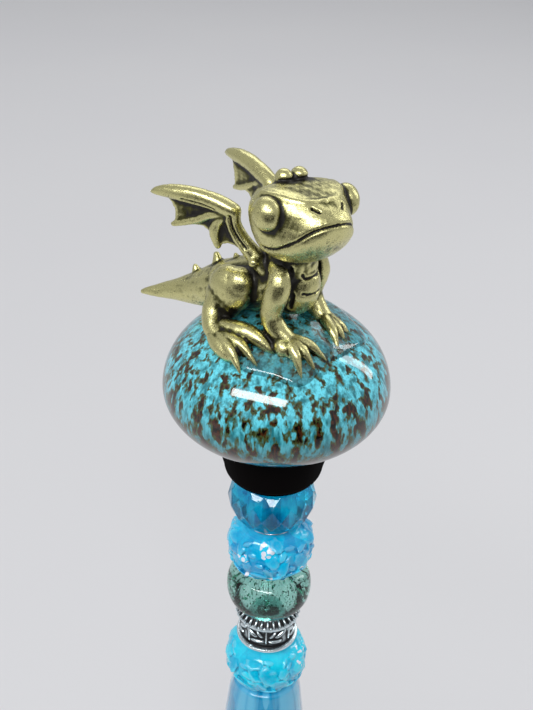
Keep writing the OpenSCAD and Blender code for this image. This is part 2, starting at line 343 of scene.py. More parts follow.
class Tree:
    """Short calls that add nodes to one material or group."""

    def __init__(self, tree: bpy.types.NodeTree) -> None:
        """Keeps the node tree to build in."""
        self.tree = tree

    def add(self, kind: str, **settings: object) -> bpy.types.Node:
        """Adds a shader node and sets its properties."""
        node = self.tree.nodes.new("ShaderNode" + kind)
        for key, value in settings.items():
            setattr(node, key, value)
        return node

    def plug(self, target: bpy.types.NodeSocket, value: object) -> None:
        """Links a socket, or sets a constant, on an input."""
        if isinstance(value, bpy.types.NodeSocket):
            self.tree.links.new(value, target)
        elif value is not None:
            wide = hasattr(target.default_value, "__len__") and len(target.default_value) == 4
            target.default_value = (*value, 1.0) if wide and len(value) == 3 else value

    def math(self, operation: str, a: object, b: object = None) -> bpy.types.NodeSocket:
        """A Math node's output."""
        node = self.add("Math", operation=operation)
        self.plug(node.inputs[0], a)
        self.plug(node.inputs[1], b)
        return node.outputs[0]

    def vector(self, operation: str, a: object, b: object = None) -> bpy.types.NodeSocket:
        """A Vector Math node's vector output."""
        node = self.add("VectorMath", operation=operation)
        self.plug(node.inputs[0], a)
        self.plug(node.inputs[1], b)
        return node.outputs[0]

    def scaled(self, vector: object, by: object) -> bpy.types.NodeSocket:
        """A vector times a number."""
        node = self.add("VectorMath", operation="SCALE")
        self.plug(node.inputs[0], vector)
        self.plug(node.inputs["Scale"], by)
        return node.outputs[0]

    def split(self, kind: str, value: object) -> bpy.types.bpy_prop_collection:
        """The three parts of a vector ("XYZ") or of a colour ("Color")."""
        node = self.add("Separate" + kind)
        self.plug(node.inputs[0], value)
        return node.outputs

    def noise(self, vector: object, scale: float, detail: float = 2.0, rough: float = 0.5,
              distortion: float = 0.0) -> bpy.types.NodeSocket:
        """A Noise texture's value."""
        node = self.add("TexNoise")
        self.plug(node.inputs["Vector"], vector)
        node.inputs["Scale"].default_value = scale
        node.inputs["Detail"].default_value = detail
        node.inputs["Roughness"].default_value = rough
        node.inputs["Distortion"].default_value = distortion
        return node.outputs["Fac"]

    def cells(self, vector: object, scale: float) -> bpy.types.Node:
        """A Voronoi texture node."""
        node = self.add("TexVoronoi")
        self.plug(node.inputs["Vector"], vector)
        node.inputs["Scale"].default_value = scale
        return node

    def step(self, value: object, low: float, high: float,
             out: tuple[float, float] = (0.0, 1.0)) -> bpy.types.NodeSocket:
        """A smooth step from out[0] at low to out[1] at high."""
        node = self.add("MapRange", interpolation_type="SMOOTHSTEP")
        self.plug(node.inputs["Value"], value)
        node.inputs["From Min"].default_value = low
        node.inputs["From Max"].default_value = high
        node.inputs["To Min"].default_value = out[0]
        node.inputs["To Max"].default_value = out[1]
        return node.outputs["Result"]

    def mix(self, factor: object, a: object, b: object) -> bpy.types.NodeSocket:
        """A colour mix of a and b."""
        node = self.add("Mix", data_type="RGBA")
        self.plug(node.inputs[0], factor)
        self.plug(node.inputs[6], a)
        self.plug(node.inputs[7], b)
        return node.outputs[2]

    def attribute(self, name: str) -> bpy.types.NodeSocket:
        """The value of a mesh attribute."""
        return self.add("Attribute", attribute_name=name).outputs["Fac"]

    def bump(self, height: object, depth: float) -> bpy.types.NodeSocket:
        """A Bump node's normal, for a height in shares of a depth in millimetres."""
        node = self.add("Bump")
        node.inputs["Strength"].default_value = 1.0
        node.inputs["Distance"].default_value = depth * MM
        self.plug(node.inputs["Height"], height)
        return node.outputs["Normal"]


class Effects:
    """Node groups that more than one finish uses, each built once."""

    made: dict[str, bpy.types.NodeTree] = {}

    @classmethod
    def group(cls, name: str, inputs: Sequence[tuple[str, str, float]], outputs: Sequence[tuple[str, str]],
              build: Callable[[Tree, dict, dict], None]) -> bpy.types.NodeTree:
        """Builds a group on first use.

        Args:
            name: the group's name.
            inputs: (name, socket kind, default) for each input.
            outputs: (name, socket kind) for each output.
            build: fills the group from its Tree, its input sockets and its output sockets.

        Returns:
            The group's node tree.
        """
        if name not in cls.made:
            tree = bpy.data.node_groups.new(name, "ShaderNodeTree")
            for label, kind, default in inputs:
                socket = tree.interface.new_socket(label, in_out="INPUT", socket_type="NodeSocket" + kind)
                if kind == "Float":
                    socket.default_value = default
            for label, kind in outputs:
                tree.interface.new_socket(label, in_out="OUTPUT", socket_type="NodeSocket" + kind)
            entry = tree.nodes.new("NodeGroupInput")
            leave = tree.nodes.new("NodeGroupOutput")
            build(Tree(tree), {s.name: s for s in entry.outputs}, {s.name: s for s in leave.inputs})
            cls.made[name] = tree
        return cls.made[name]

    @classmethod
    def place(cls, t: Tree, group: bpy.types.NodeTree, **values: object) -> dict[str, bpy.types.NodeSocket]:
        """Places a group in a tree with its own values.

        Args:
            t: the tree to place it in.
            group: the group.
            values: input values or sockets, by input name in lower case with underscores.

        Returns:
            The outputs by name.
        """
        node = t.add("Group")
        node.node_tree = group
        for socket in node.inputs:
            t.plug(socket, values.get(socket.name.lower().replace(" ", "_")))
        return {s.name: s for s in node.outputs}

    @classmethod
    def recess(cls) -> bpy.types.NodeTree:
        """Black patina left in the recesses of a polished casting, and painted shade where the casting
        shuts itself in, faces down or sits near the ground, broken up by grain.
        """
        def build(t: Tree, i: dict, o: dict) -> None:
            """Fills the group."""
            coarse = t.noise(i["Vector"], 1.1, 4.0, 0.6)
            fine = t.noise(i["Vector"], 5.5, 5.0, 0.7)
            grain = t.math("ADD", t.math("MULTIPLY", t.math("SUBTRACT", coarse, 0.5), 0.5),
                           t.math("MULTIPLY", t.math("SUBTRACT", fine, 0.5), 0.9))
            broken = t.math("ADD", i["Recess"], t.math("MULTIPLY", grain, i["Break Up"]))
            t.plug(o["Mask"], t.step(broken, 0.24, 0.70))
            patches = t.step(t.noise(i["Vector"], 0.35, 3.0, 0.6), 0.52, 0.70)
            small = t.math("GREATER_THAN", t.noise(i["Vector"], 7.0, 1.0, 0.5), 0.70)
            more = t.math("MULTIPLY", patches, t.step(t.noise(i["Vector"], 4.5, 2.0, 0.6), 0.54, 0.62))
            t.plug(o["Pits"], t.math("MAXIMUM", small, more))
            t.plug(o["Grain"], fine)
        return cls.group("Patina and painted shade", [("Vector", "Vector", 0), ("Recess", "Float", 0.0),
                                              ("Break Up", "Float", 0.5)],
                         [("Mask", "Float"), ("Pits", "Float"), ("Grain", "Float")], build)

    @classmethod
    def round_axis(cls) -> bpy.types.NodeTree:
        """A seamless place on a turned piece: across it at one radius, and along its side."""
        def build(t: Tree, i: dict, o: dict) -> None:
            """Fills the group."""
            parts = t.split("XYZ", i["Vector"])
            flat = t.add("CombineXYZ")
            t.plug(flat.inputs[0], parts[0])
            t.plug(flat.inputs[1], parts[1])
            wide = t.scaled(t.vector("NORMALIZE", flat.outputs[0]), i["Radius"])
            length = t.add("VectorMath", operation="LENGTH")
            t.plug(length.inputs[0], flat.outputs[0])
            along = t.add("CombineXYZ")
            t.plug(along.inputs[2], t.math("MULTIPLY", i["Along"], i["Squash"]))
            t.plug(o["Place"], t.vector("ADD", wide, along.outputs[0]))
            t.plug(o["Distance"], length.outputs["Value"])
        return cls.group("Round the axis", [("Vector", "Vector", 0), ("Radius", "Float", 10.0),
                                            ("Along", "Float", 0.0), ("Squash", "Float", 0.5)],
                         [("Place", "Vector"), ("Distance", "Float")], build)

    @classmethod
    def flecks(cls) -> bpy.types.NodeTree:
        """Flecks that break through a reactive glaze, each with a halo."""
        def build(t: Tree, i: dict, o: dict) -> None:
            """Fills the group."""
            warp = t.add("TexNoise")
            t.plug(warp.inputs["Vector"], i["Place"])
            warp.inputs["Scale"].default_value = 1.6
            bend = t.scaled(t.vector("SUBTRACT", warp.outputs["Color"], (0.5, 0.5, 0.5)), 0.55)
            place = t.vector("ADD", i["Place"], bend)
            large = t.noise(place, 0.80, 1.5, 0.45)
            small = t.noise(place, 1.75, 2.0, 0.5)
            field = t.math("ADD", t.math("MULTIPLY", large, 0.62), t.math("MULTIPLY", small, 0.38))
            field = t.math("ADD", field, i["More"])
            t.plug(o["Core"], t.step(field, 0.548, 0.602))
            t.plug(o["Halo"], t.step(field, 0.478, 0.556))
        return cls.group("Glaze flecks", [("Place", "Vector", 0), ("More", "Float", 0.0)],
                         [("Core", "Float"), ("Halo", "Float")], build)


class Finish:
    """A finish: a material with one Principled shader and object coordinates in millimetres."""

    def start(self, name: str) -> tuple[bpy.types.Material, Tree, bpy.types.Node, bpy.types.NodeSocket]:
        """Makes an empty material.

        Args:
            name: the material's name.

        Returns:
            The material, its tree, its Principled node and the place on the piece in millimetres.
        """
        material = bpy.data.materials.new(name)
        material.use_nodes = True
        t = Tree(material.node_tree)
        shader = material.node_tree.nodes["Principled BSDF"]
        return material, t, shader, t.scaled(t.add("TexCoord").outputs["Object"], 1 / MM)


@dataclass(frozen=True)
class CastMetal(Finish):
    """A cast metal, blackened and then polished on its high places, with painted shade where it is shut in.
    """

    name: str
    high: Colour
    middle: Colour
    black: Colour = tone(26, 23, 18)
    roughness: tuple[float, float] = (0.24, 0.42)
    break_up: float = 0.55
    shift: float = 0.0
    polish: tuple[float, float] = (0.25, 0.95)

    def material(self) -> bpy.types.Material:
        """The material, which reads the casting's two attributes: black patina with painted shade, and
        polish less painted shade.
        """
        material, t, shader, place = self.start(self.name)
        recess = t.math("ADD", t.attribute("recess"), self.shift)
        blackening_and_shade = Effects.place(t, Effects.recess(), vector=place, recess=recess, break_up=self.break_up)
        tint = t.mix(t.step(t.math("ADD", t.attribute("crown"), t.math("MULTIPLY", blackening_and_shade["Grain"], 0.5)),
                            *self.polish), self.middle, self.high)
        tint = t.mix(t.math("MULTIPLY", blackening_and_shade["Pits"], 0.75), tint, self.black)
        t.plug(shader.inputs["Base Color"], t.mix(blackening_and_shade["Mask"], tint, self.black))
        t.plug(shader.inputs["Metallic"], t.step(blackening_and_shade["Mask"], 0.2, 1.0, (1.0, 0.35)))
        rough = t.math("ADD", t.step(blackening_and_shade["Grain"], 0.3, 0.7, self.roughness),
                       t.math("MULTIPLY", blackening_and_shade["Mask"], 0.12))
        t.plug(shader.inputs["Roughness"], rough)
        height = t.math("SUBTRACT", blackening_and_shade["Grain"], t.math("MULTIPLY", blackening_and_shade["Pits"], 0.8))
        t.plug(shader.inputs["Normal"], t.bump(height, 0.024))
        return material


@dataclass(frozen=True)
class ReactiveGlaze(Finish):
    """A runny two-colour glaze on a knob, over a dark body that shows at the neck; darker towards the
    bottom, with painted shade where it turns edge-on to the view.
    """

    rim: float
    sky: Colour = tone(112, 230, 250)
    deep: Colour = tone(38, 120, 130)
    low: Colour = tone(86, 178, 192)
    halo: Colour = tone(70, 84, 44)
    fleck: Colour = tone(70, 34, 14)
    body: Colour = tone(7, 5, 5)
    lower_dark: Colour = tone(26, 64, 64)

    def material(self) -> bpy.types.Material:
        """The material."""
        material, t, shader, place = self.start("reactive_glaze")
        height = t.math("SUBTRACT", t.split("XYZ", place)[2], self.rim)
        spot = t.vector("MULTIPLY", place, (1.0, 1.0, 0.42))
        run = t.noise(t.vector("MULTIPLY", place, (1.0, 1.0, 0.22)), 3.2, 3.0, 0.6)
        low = t.step(height, 0.4, -5.2)
        more = t.math("ADD", t.step(height, 9.0, 1.0, (-0.026, 0.026)), t.math("MULTIPLY", low, 0.05))
        flecks = Effects.place(t, Effects.flecks(), place=spot, more=more)
        drift = t.noise(spot, 0.9, 3.0, 0.6)
        # Paler towards the top of the knob and darker towards the bottom.
        blue = t.mix(t.step(height, 5.0, -1.0), self.sky, self.low)
        blue = t.mix(t.step(drift, 0.42, 0.66), blue, self.deep)
        blue = t.mix(t.step(run, 0.44, 0.66, (0.0, 0.5)), blue, self.deep)
        # Darker still below the widest line.
        blue = t.mix(t.math("MULTIPLY", low, 0.92), blue, self.lower_dark)
        shade = t.mix(flecks["Halo"], blue, self.halo)
        brown = t.mix(t.step(t.noise(spot, 2.6, 2.0), 0.42, 0.62), self.body, self.fleck)
        shade = t.mix(flecks["Core"], shade, brown)
        neck = t.step(t.math("ADD", height, t.math("MULTIPLY", drift, 0.8)), -7.6, -8.4)
        # Painted shade: the glaze darkens towards the body colour where it turns edge-on to the view.
        turned = t.add("LayerWeight")
        turned.inputs["Blend"].default_value = 0.5
        facing = turned.outputs["Facing"]
        shade = t.mix(t.step(facing, 0.66, 1.0, (0.0, 0.7)), shade, self.body)
        t.plug(shader.inputs["Base Color"], t.mix(neck, shade, self.body))
        t.plug(shader.inputs["Roughness"], t.step(drift, 0.2, 0.8, (0.05, 0.12)))
        open_side = t.step(facing, 0.98, 0.62, (0.25, 1.0))
        for socket, ends in (("Specular IOR Level", (0.25, 0.0)), ("Coat Weight", (1.0, 0.05))):
            t.plug(shader.inputs[socket], t.math("MULTIPLY", t.step(neck, 0.0, 1.0, ends), open_side))
        shader.inputs["Coat Roughness"].default_value = 0.02
        shader.inputs["Coat IOR"].default_value = 1.45
        t.plug(shader.inputs["Normal"], t.bump(t.noise(place, 0.25, 2.0), 0.05))
        return material


@dataclass(frozen=True)
class TintedGlass(Finish):
    """Clear glass with a tint that drifts a little through it."""

    name: str
    light: Colour
    dark: Colour
    roughness: float = 0.02
    ior: float = 1.5
    clear: float = 1.0

    def material(self) -> bpy.types.Material:
        """The material."""
        material, t, shader, place = self.start(self.name)
        drift = t.noise(place, 0.35, 3.0, 0.55)
        t.plug(shader.inputs["Base Color"], t.mix(t.step(drift, 0.35, 0.65), self.light, self.dark))
        shader.inputs["Roughness"].default_value = self.roughness
        shader.inputs["IOR"].default_value = self.ior
        shader.inputs["Transmission Weight"].default_value = self.clear
        t.plug(shader.inputs["Normal"], t.bump(t.noise(place, 0.8, 2.0), 0.02))
        return material


@dataclass(frozen=True)
class ChipResin(Finish):
    """Tinted resin over pearly chips, with painted sheen on their raised places, painted shade in the
    grooves and painted white glints on a few.
    """

    name: str
    light: Colour
    dark: Colour
    groove: Colour = tone(6, 112, 168)
    pearl: Colour = tone(150, 226, 250)
    glint_white: Colour = tone(235, 238, 250)

    def material(self) -> bpy.types.Material:
        """The material."""
        material, t, shader, place = self.start(self.name)
        chip = t.attribute("chip")
        drift = t.noise(place, 0.45, 4.0, 0.6, 0.8)
        tint = t.mix(t.step(t.math("ADD", t.math("MULTIPLY", chip, 0.8), drift), 0.45, 1.25),
                     self.dark, self.light)
        # Painted shade: the grooves between the chips darken towards the groove colour.
        tint = t.mix(t.step(t.attribute("recess"), 0.25, 0.85, (0.0, 0.7)), tint, self.groove)
        # Partly the chips' pearl, partly painted sheen: their raised places turn paler.
        tint = t.mix(t.step(t.attribute("crown"), 0.45, 0.95, (0.0, 0.28)), tint, self.pearl)
        flakes = t.cells(place, 1.05)
        size = t.math("LESS_THAN", flakes.outputs["Distance"], 0.45)
        pick = t.split("Color", flakes.outputs["Color"])
        # Painted glints: white spots on the few chips with the highest values.
        bright = t.math("MULTIPLY", size, t.math("GREATER_THAN", chip, 0.94))
        faint = t.math("MULTIPLY", t.math("LESS_THAN", flakes.outputs["Distance"], 0.42),
                       t.math("GREATER_THAN", pick[1], 0.72))
        tint = t.mix(t.math("MULTIPLY", faint, 0.35), tint, self.light)
        t.plug(shader.inputs["Base Color"], t.mix(bright, tint, self.glint_white))
        t.plug(shader.inputs["Roughness"], t.step(drift, 0.3, 0.7, (0.10, 0.22)))
        shader.inputs["Subsurface Weight"].default_value = 0.15
        shader.inputs["Subsurface Radius"].default_value = (0.2 * MM, 0.5 * MM, 0.7 * MM)
        shader.inputs["Subsurface Scale"].default_value = 1.0
        shader.inputs["Specular IOR Level"].default_value = 0.15
        shader.inputs["Coat Weight"].default_value = 0.9
        shader.inputs["Coat Roughness"].default_value = 0.03
        t.plug(shader.inputs["Normal"], t.bump(t.noise(place, 1.6, 2.0), 0.05))
        return material


@dataclass(frozen=True)
class StreakedGlass(Finish):
    """Opaque glass with pale streaks drawn down from both necks."""

    half: float
    radius: float
    base: Colour = tone(6, 156, 204)
    deep: Colour = tone(12, 122, 168)
    streak: Colour = tone(88, 184, 220)

    def material(self) -> bpy.types.Material:
        """The material."""
        material, t, shader, place = self.start("streaked_glass")
        height = t.split("XYZ", place)[2]
        spot = Effects.place(t, Effects.round_axis(), vector=place, radius=self.radius, along=height,
                             squash=0.03)["Place"]
        drips = t.cells(spot, 0.5)
        pick = t.split("Color", drips.outputs["Color"])
        side = drips.outputs["Distance"]
        spot_long = Effects.place(t, Effects.round_axis(), vector=place, radius=self.radius,
                                  along=height, squash=0.16)["Place"]
        wisps = t.noise(spot_long, 0.7, 4.0, 0.6, 0.6)
        reach = t.math("SUBTRACT", self.half, t.math("ABSOLUTE", height))
        length = t.math("ADD", 6.5, t.math("MULTIPLY", pick[0], 10.0))
        length = t.math("SUBTRACT", length, t.math("MULTIPLY", t.math("MULTIPLY", side, side), 30.0))
        pale = t.step(t.math("SUBTRACT", reach, length), 0.35, -0.35)
        pale = t.math("MULTIPLY", pale, t.step(side, 0.62, 0.36, (0.3, 1.0)))
        pale = t.math("MAXIMUM", pale, t.math("MULTIPLY", t.step(wisps, 0.56, 0.72), 0.45))
        ground = t.mix(t.step(wisps, 0.3, 0.6), self.deep, self.base)
        t.plug(shader.inputs["Base Color"], t.mix(pale, ground, self.streak))
        t.plug(shader.inputs["Roughness"], t.step(wisps, 0.3, 0.7, (0.06, 0.14)))
        shader.inputs["Subsurface Weight"].default_value = 0.25
        shader.inputs["Subsurface Radius"].default_value = (0.4 * MM, 0.9 * MM, 1.2 * MM)
        shader.inputs["Subsurface Scale"].default_value = 1.0
        shader.inputs["Coat Weight"].default_value = 0.8
        shader.inputs["Coat Roughness"].default_value = 0.03
        t.plug(shader.inputs["Normal"], t.bump(wisps, 0.06))
        return material


@dataclass(frozen=True)
class BrightMetal(Finish):
    """A plated or turned metal with fine turning marks."""

    name: str
    colour: Colour
    dull: Colour
    roughness: tuple[float, float] = (0.12, 0.22)

    def material(self) -> bpy.types.Material:
        """The material."""
        material, t, shader, place = self.start(self.name)
        rings = t.add("CombineXYZ")
        t.plug(rings.inputs[2], t.split("XYZ", place)[2])
        marks = t.noise(rings.outputs[0], 9.0, 3.0, 0.6)
        stain = t.noise(place, 0.6, 4.0, 0.6)
        t.plug(shader.inputs["Base Color"], t.mix(t.step(stain, 0.45, 0.75), self.colour, self.dull))
        shader.inputs["Metallic"].default_value = 1.0
        t.plug(shader.inputs["Roughness"], t.step(stain, 0.3, 0.7, self.roughness))
        t.plug(shader.inputs["Normal"], t.bump(marks, 0.01))
        return material


@dataclass(frozen=True)
class GlitterFlake(Finish):
    """Metal flakes cast in glass, each turned its own way, with painted glints that make it bright or dark
    by its place.
    """

    bright: Colour = tone(150, 235, 205)
    dark: Colour = tone(30, 84, 66)

    def material(self) -> bpy.types.Material:
        """The material."""
        material, t, shader, place = self.start("green_glitter")
        pick = t.split("Color", t.cells(place, 2.0).outputs["Color"])
        # Painted glints: each cell's flakes are painted bright or dark.
        glint = t.step(pick[0], 0.35, 0.95)
        t.plug(shader.inputs["Base Color"], t.mix(glint, self.dark, self.bright))
        shader.inputs["Metallic"].default_value = 0.9
        t.plug(shader.inputs["Roughness"], t.step(pick[1], 0.0, 1.0, (0.18, 0.35)))
        return material


_DRESSED: dict[str, bpy.types.Material] = {}


class Paint(Enum):
    """The finishes that pieces share."""

    BRASS_CAST = CastMetal("antique_brass", high=tone(212, 207, 148), middle=tone(92, 91, 54),
                           roughness=(0.2, 0.38), break_up=0.8, polish=(0.36, 1.08))
    SILVER_CAST = CastMetal("antique_silver", high=tone(218, 230, 234), middle=tone(140, 156, 162),
                            black=tone(14, 14, 18), roughness=(0.14, 0.28), break_up=0.22, shift=-0.18)
    BLUE_GLASS = TintedGlass("blue_glass", light=tone(20, 206, 242), dark=tone(0, 150, 206), clear=0.8)
    GREEN_GLASS = TintedGlass("green_glass", light=tone(168, 220, 210), dark=tone(138, 202, 190), ior=1.46)
    QUARTZ = TintedGlass("quartz", light=tone(240, 246, 250), dark=tone(222, 232, 240), ior=1.54)
    EPOXY = TintedGlass("clear_epoxy", light=tone(246, 248, 246), dark=tone(236, 242, 240), ior=1.5)
    AZURE_CHIPS = ChipResin("azure_resin", light=tone(16, 208, 250), dark=tone(0, 156, 214))
    TURQUOISE_CHIPS = ChipResin("turquoise_resin", light=tone(26, 222, 250), dark=tone(2, 180, 222),
                                groove=tone(8, 132, 176))
    SILVER_PLATE = BrightMetal("silver_plate", colour=tone(232, 234, 238), dull=tone(196, 198, 204))
    STEEL = BrightMetal("drawn_steel", colour=tone(196, 198, 202), dull=tone(150, 152, 158),
                        roughness=(0.2, 0.32))
    BRASS = BrightMetal("turned_brass", colour=tone(216, 182, 104), dull=tone(170, 134, 70),
                        roughness=(0.2, 0.32))
    GLITTER = GlitterFlake()

    @property
    def dressed(self) -> bpy.types.Material:
        """The finish's material, made once."""
        if self.name not in _DRESSED:
            _DRESSED[self.name] = self.value.material()
        return _DRESSED[self.name]


# ---------------------------------------------------------------- castings


class Casting:
    """A cast piece: masses fused, softened, tooled with strokes, and marked with patina, polish and painted
    shade for its finish.
    """

    SAMPLES = 6                     # samples for each span of a stroke
    GAINS = (5.0, 1.1, 0.36)        # how strongly creases, hollows and sunk places count
    FILL = 0.55                     # the share of the black that each of them holds
    SHUT = 1.12                     # painted shade: black for a place that is shut in
    UNDERSIDE = 0.35                # painted shade and patina: black for a place that faces down
    FOOT, FOOT_HEIGHT = 0.7, 1.5    # black close to the ground, and how high it climbs: painted shade under the dragon, patina on a spacer's band
    PROUD = (0.8, 0.45, 0.35)       # how strongly each of the three counts for the polish
    PLAIN, SHADE = 0.36, 0.9        # the polish of a flat place, and the painted shade that being shut in takes away

    def __init__(self, name: str, voxel: float) -> None:
        """Starts with no masses.

        Args:
            name: the piece's name.
            voxel: the size of the finest detail, in millimetres.
        """
        self.name = name
        self.voxel = voxel
        self.masses: list[bpy.types.Object] = []
        self.piece: Optional[bpy.types.Object] = None

    def fuse(self, soften: int) -> None:
        """Joins the masses into one skin and softens it.

        Args:
            soften: passes of smoothing.
        """
        self.piece = joined(self.masses, self.name)
        self.piece.data.materials.clear()
        run_modifier(self.piece, "REMESH", mode="VOXEL", voxel_size=self.voxel)
        run_modifier(self.piece, "SMOOTH", factor=0.5, iterations=soften)

    def normals(self) -> np.ndarray:
        """The skin's point normals as an (n, 3) array."""
        flat = np.empty(len(self.piece.data.vertices) * 3, np.float32)
        self.piece.data.vertex_normals.foreach_get("vector", flat)
        return flat.reshape(-1, 3).astype(float)

    def stroke(self, path: Sequence[Sequence[float]], width: float, depth: float, tree: BVHTree) -> None:
        """Presses a groove, or raises a ridge, along a path on the skin.

        Args:
            path: two or more points near the skin, in millimetres.
            width: half width of the groove.
            depth: its depth; a negative depth raises a ridge.
            tree: the skin's search tree.
        """
        samples = np.array([list(tree.find_nearest(Vector(p))[0]) for p in through(path, self.SAMPLES)])
        points = points_of(self.piece)
        near = np.full(len(points), np.inf)
        for a, b in zip(samples, samples[1:]):
            along = b - a
            share = np.clip(((points - a) @ along) / max(along @ along, 1e-12), 0.0, 1.0)
            near = np.minimum(near, np.linalg.norm(points - a - share[:, None] * along, axis=1))
        press = depth * np.exp(-(near / width) ** 2 * 1.4)
        set_points(self.piece, points - self.normals() * press[:, None])

    def search(self) -> BVHTree:
        """A search tree of the skin."""
        polygons = [tuple(p.vertices) for p in self.piece.data.polygons]
        return BVHTree.FromPolygons([v.co for v in self.piece.data.vertices], polygons)

    def roughen(self, scale: float, depth: float, seed: int) -> None:
        """Adds the slight unevenness of a cast surface, as a few sums of waves.

        Args:
            scale: the unevenness's size in millimetres.
            depth: its depth in millimetres.
            seed: the draw's seed.
        """
        draw = np.random.default_rng(seed)
        points = points_of(self.piece)
        height = np.zeros(len(points))
        for octave in range(3):
            for _ in range(5):
                wave = draw.normal(size=3)
                wave *= math.tau / (scale / 2 ** octave) / np.linalg.norm(wave)
                height += np.sin(points @ wave + draw.uniform(0, math.tau)) / 2 ** octave / 5
        set_points(self.piece, points + self.normals() * (height * depth)[:, None])

    def weather_and_shade(self, fine: int = 6, wide: int = 60, broad: int = 260, reach: float = 3.0, rays: int = 12,
                ground: Optional[Callable[[np.ndarray], np.ndarray]] = None) -> None:
        """Writes how deep each point lies, as black patina with painted shade where it is shut in, faces
        down or sits near the ground, and how proud it lies, as polish less painted shade.

        Args:
            fine: smoothing passes for creases.
            wide: smoothing passes for hollows.
            broad: smoothing passes for the places a polishing wheel never reaches.
            reach: how far, in millimetres, a neighbour shades a point.
            ground: gives each point's height over what the casting sits on.
        """
        points, normals = points_of(self.piece), self.normals()
        edges = np.empty(len(self.piece.data.edges) * 2, np.int32)
        self.piece.data.edges.foreach_get("vertices", edges)
        a, b = edges.reshape(-1, 2).T
        count = np.bincount(np.concatenate([a, b]), minlength=len(points))[:, None]
        relief = []
        soft = points.copy()
        for turn in range(1, broad + 1):
            total = np.zeros_like(soft)
            for axis in range(3):
                total[:, axis] = (np.bincount(a, soft[b, axis], len(points))
                                  + np.bincount(b, soft[a, axis], len(points)))
            soft = 0.5 * soft + 0.5 * total / np.maximum(count, 1)
            if turn in (fine, wide, broad):
                relief.append(((soft - points) * normals).sum(1))
        crease, hollow, sunk = (depth / self.voxel * gain for depth, gain in zip(relief, self.GAINS))
        closed = np.zeros(len(points))
        # Painted shade: where the casting closes off the sky over a point, that point is painted darker.
        closed = self.shaded(points, normals, reach, rays)
        # Black patina in creases and hollows, with painted shade where the point is shut in.
        recess = (np.clip(crease, -0.3, 1.2) * self.FILL + np.clip(hollow, -0.4, 1.0) * self.FILL
                  + closed * self.SHUT)
        # Patina in sunk places, and painted shade with patina where the skin faces down.
        recess += (np.clip(sunk, -0.25, 0.9) * self.FILL
                   + np.clip(-normals[:, 2] - 0.1, 0.0, 1.0) * self.UNDERSIDE)
        # Painted shade close to what the casting sits on; on a spacer, the patina of its band's ground.
        if ground is not None:
            near = np.clip(1.0 - ground(points) / self.FOOT_HEIGHT, 0.0, 1.0)
            recess += near * np.clip(0.9 - normals[:, 2], 0.0, 1.0) * self.FOOT
        # Polish on proud places, made darker by painted shade where the point is shut in.
        crown = np.clip(-crease * self.PROUD[0] - hollow * self.PROUD[1] - sunk * self.PROUD[2]
                        + self.PLAIN - closed * self.SHADE, 0.0, 1.0)
        for name, values in (("recess", np.clip(recess, 0.0, 1.0)), ("crown", crown)):
            layer = self.piece.data.attributes.new(name, "FLOAT", "POINT")
            layer.data.foreach_set("value", values.astype(np.float32))

    def shaded(self, points: np.ndarray, normals: np.ndarray, reach: float, rays: int) -> np.ndarray:
        """How much of the sky over each point is closed off by the casting itself.

        Args:
            points: the skin's points.
            normals: their normals.
            reach: the longest distance that counts.
            rays: rays for each point.

        Returns:
            A share from 0, open, to 1, shut in, for each point.
        """
        draw = np.random.default_rng(7)
        tree = self.search()
        fan = draw.normal(size=(rays, 3))
        fan /= np.linalg.norm(fan, axis=1)[:, None]
        shut = np.zeros(len(points))
        cast = tree.ray_cast
        for way in fan:
            ways = normals + way * 0.9
            ways /= np.linalg.norm(ways, axis=1)[:, None]
            starts = points + normals * (self.voxel * 0.8)
            for k, (start, toward) in enumerate(zip(starts.tolist(), ways.tolist())):
                distance = cast(start, toward, reach)[3]
                if distance is not None:
                    shut[k] += 1.0 - distance / reach
        return np.clip(shut / rays * 1.5, 0.0, 1.0)


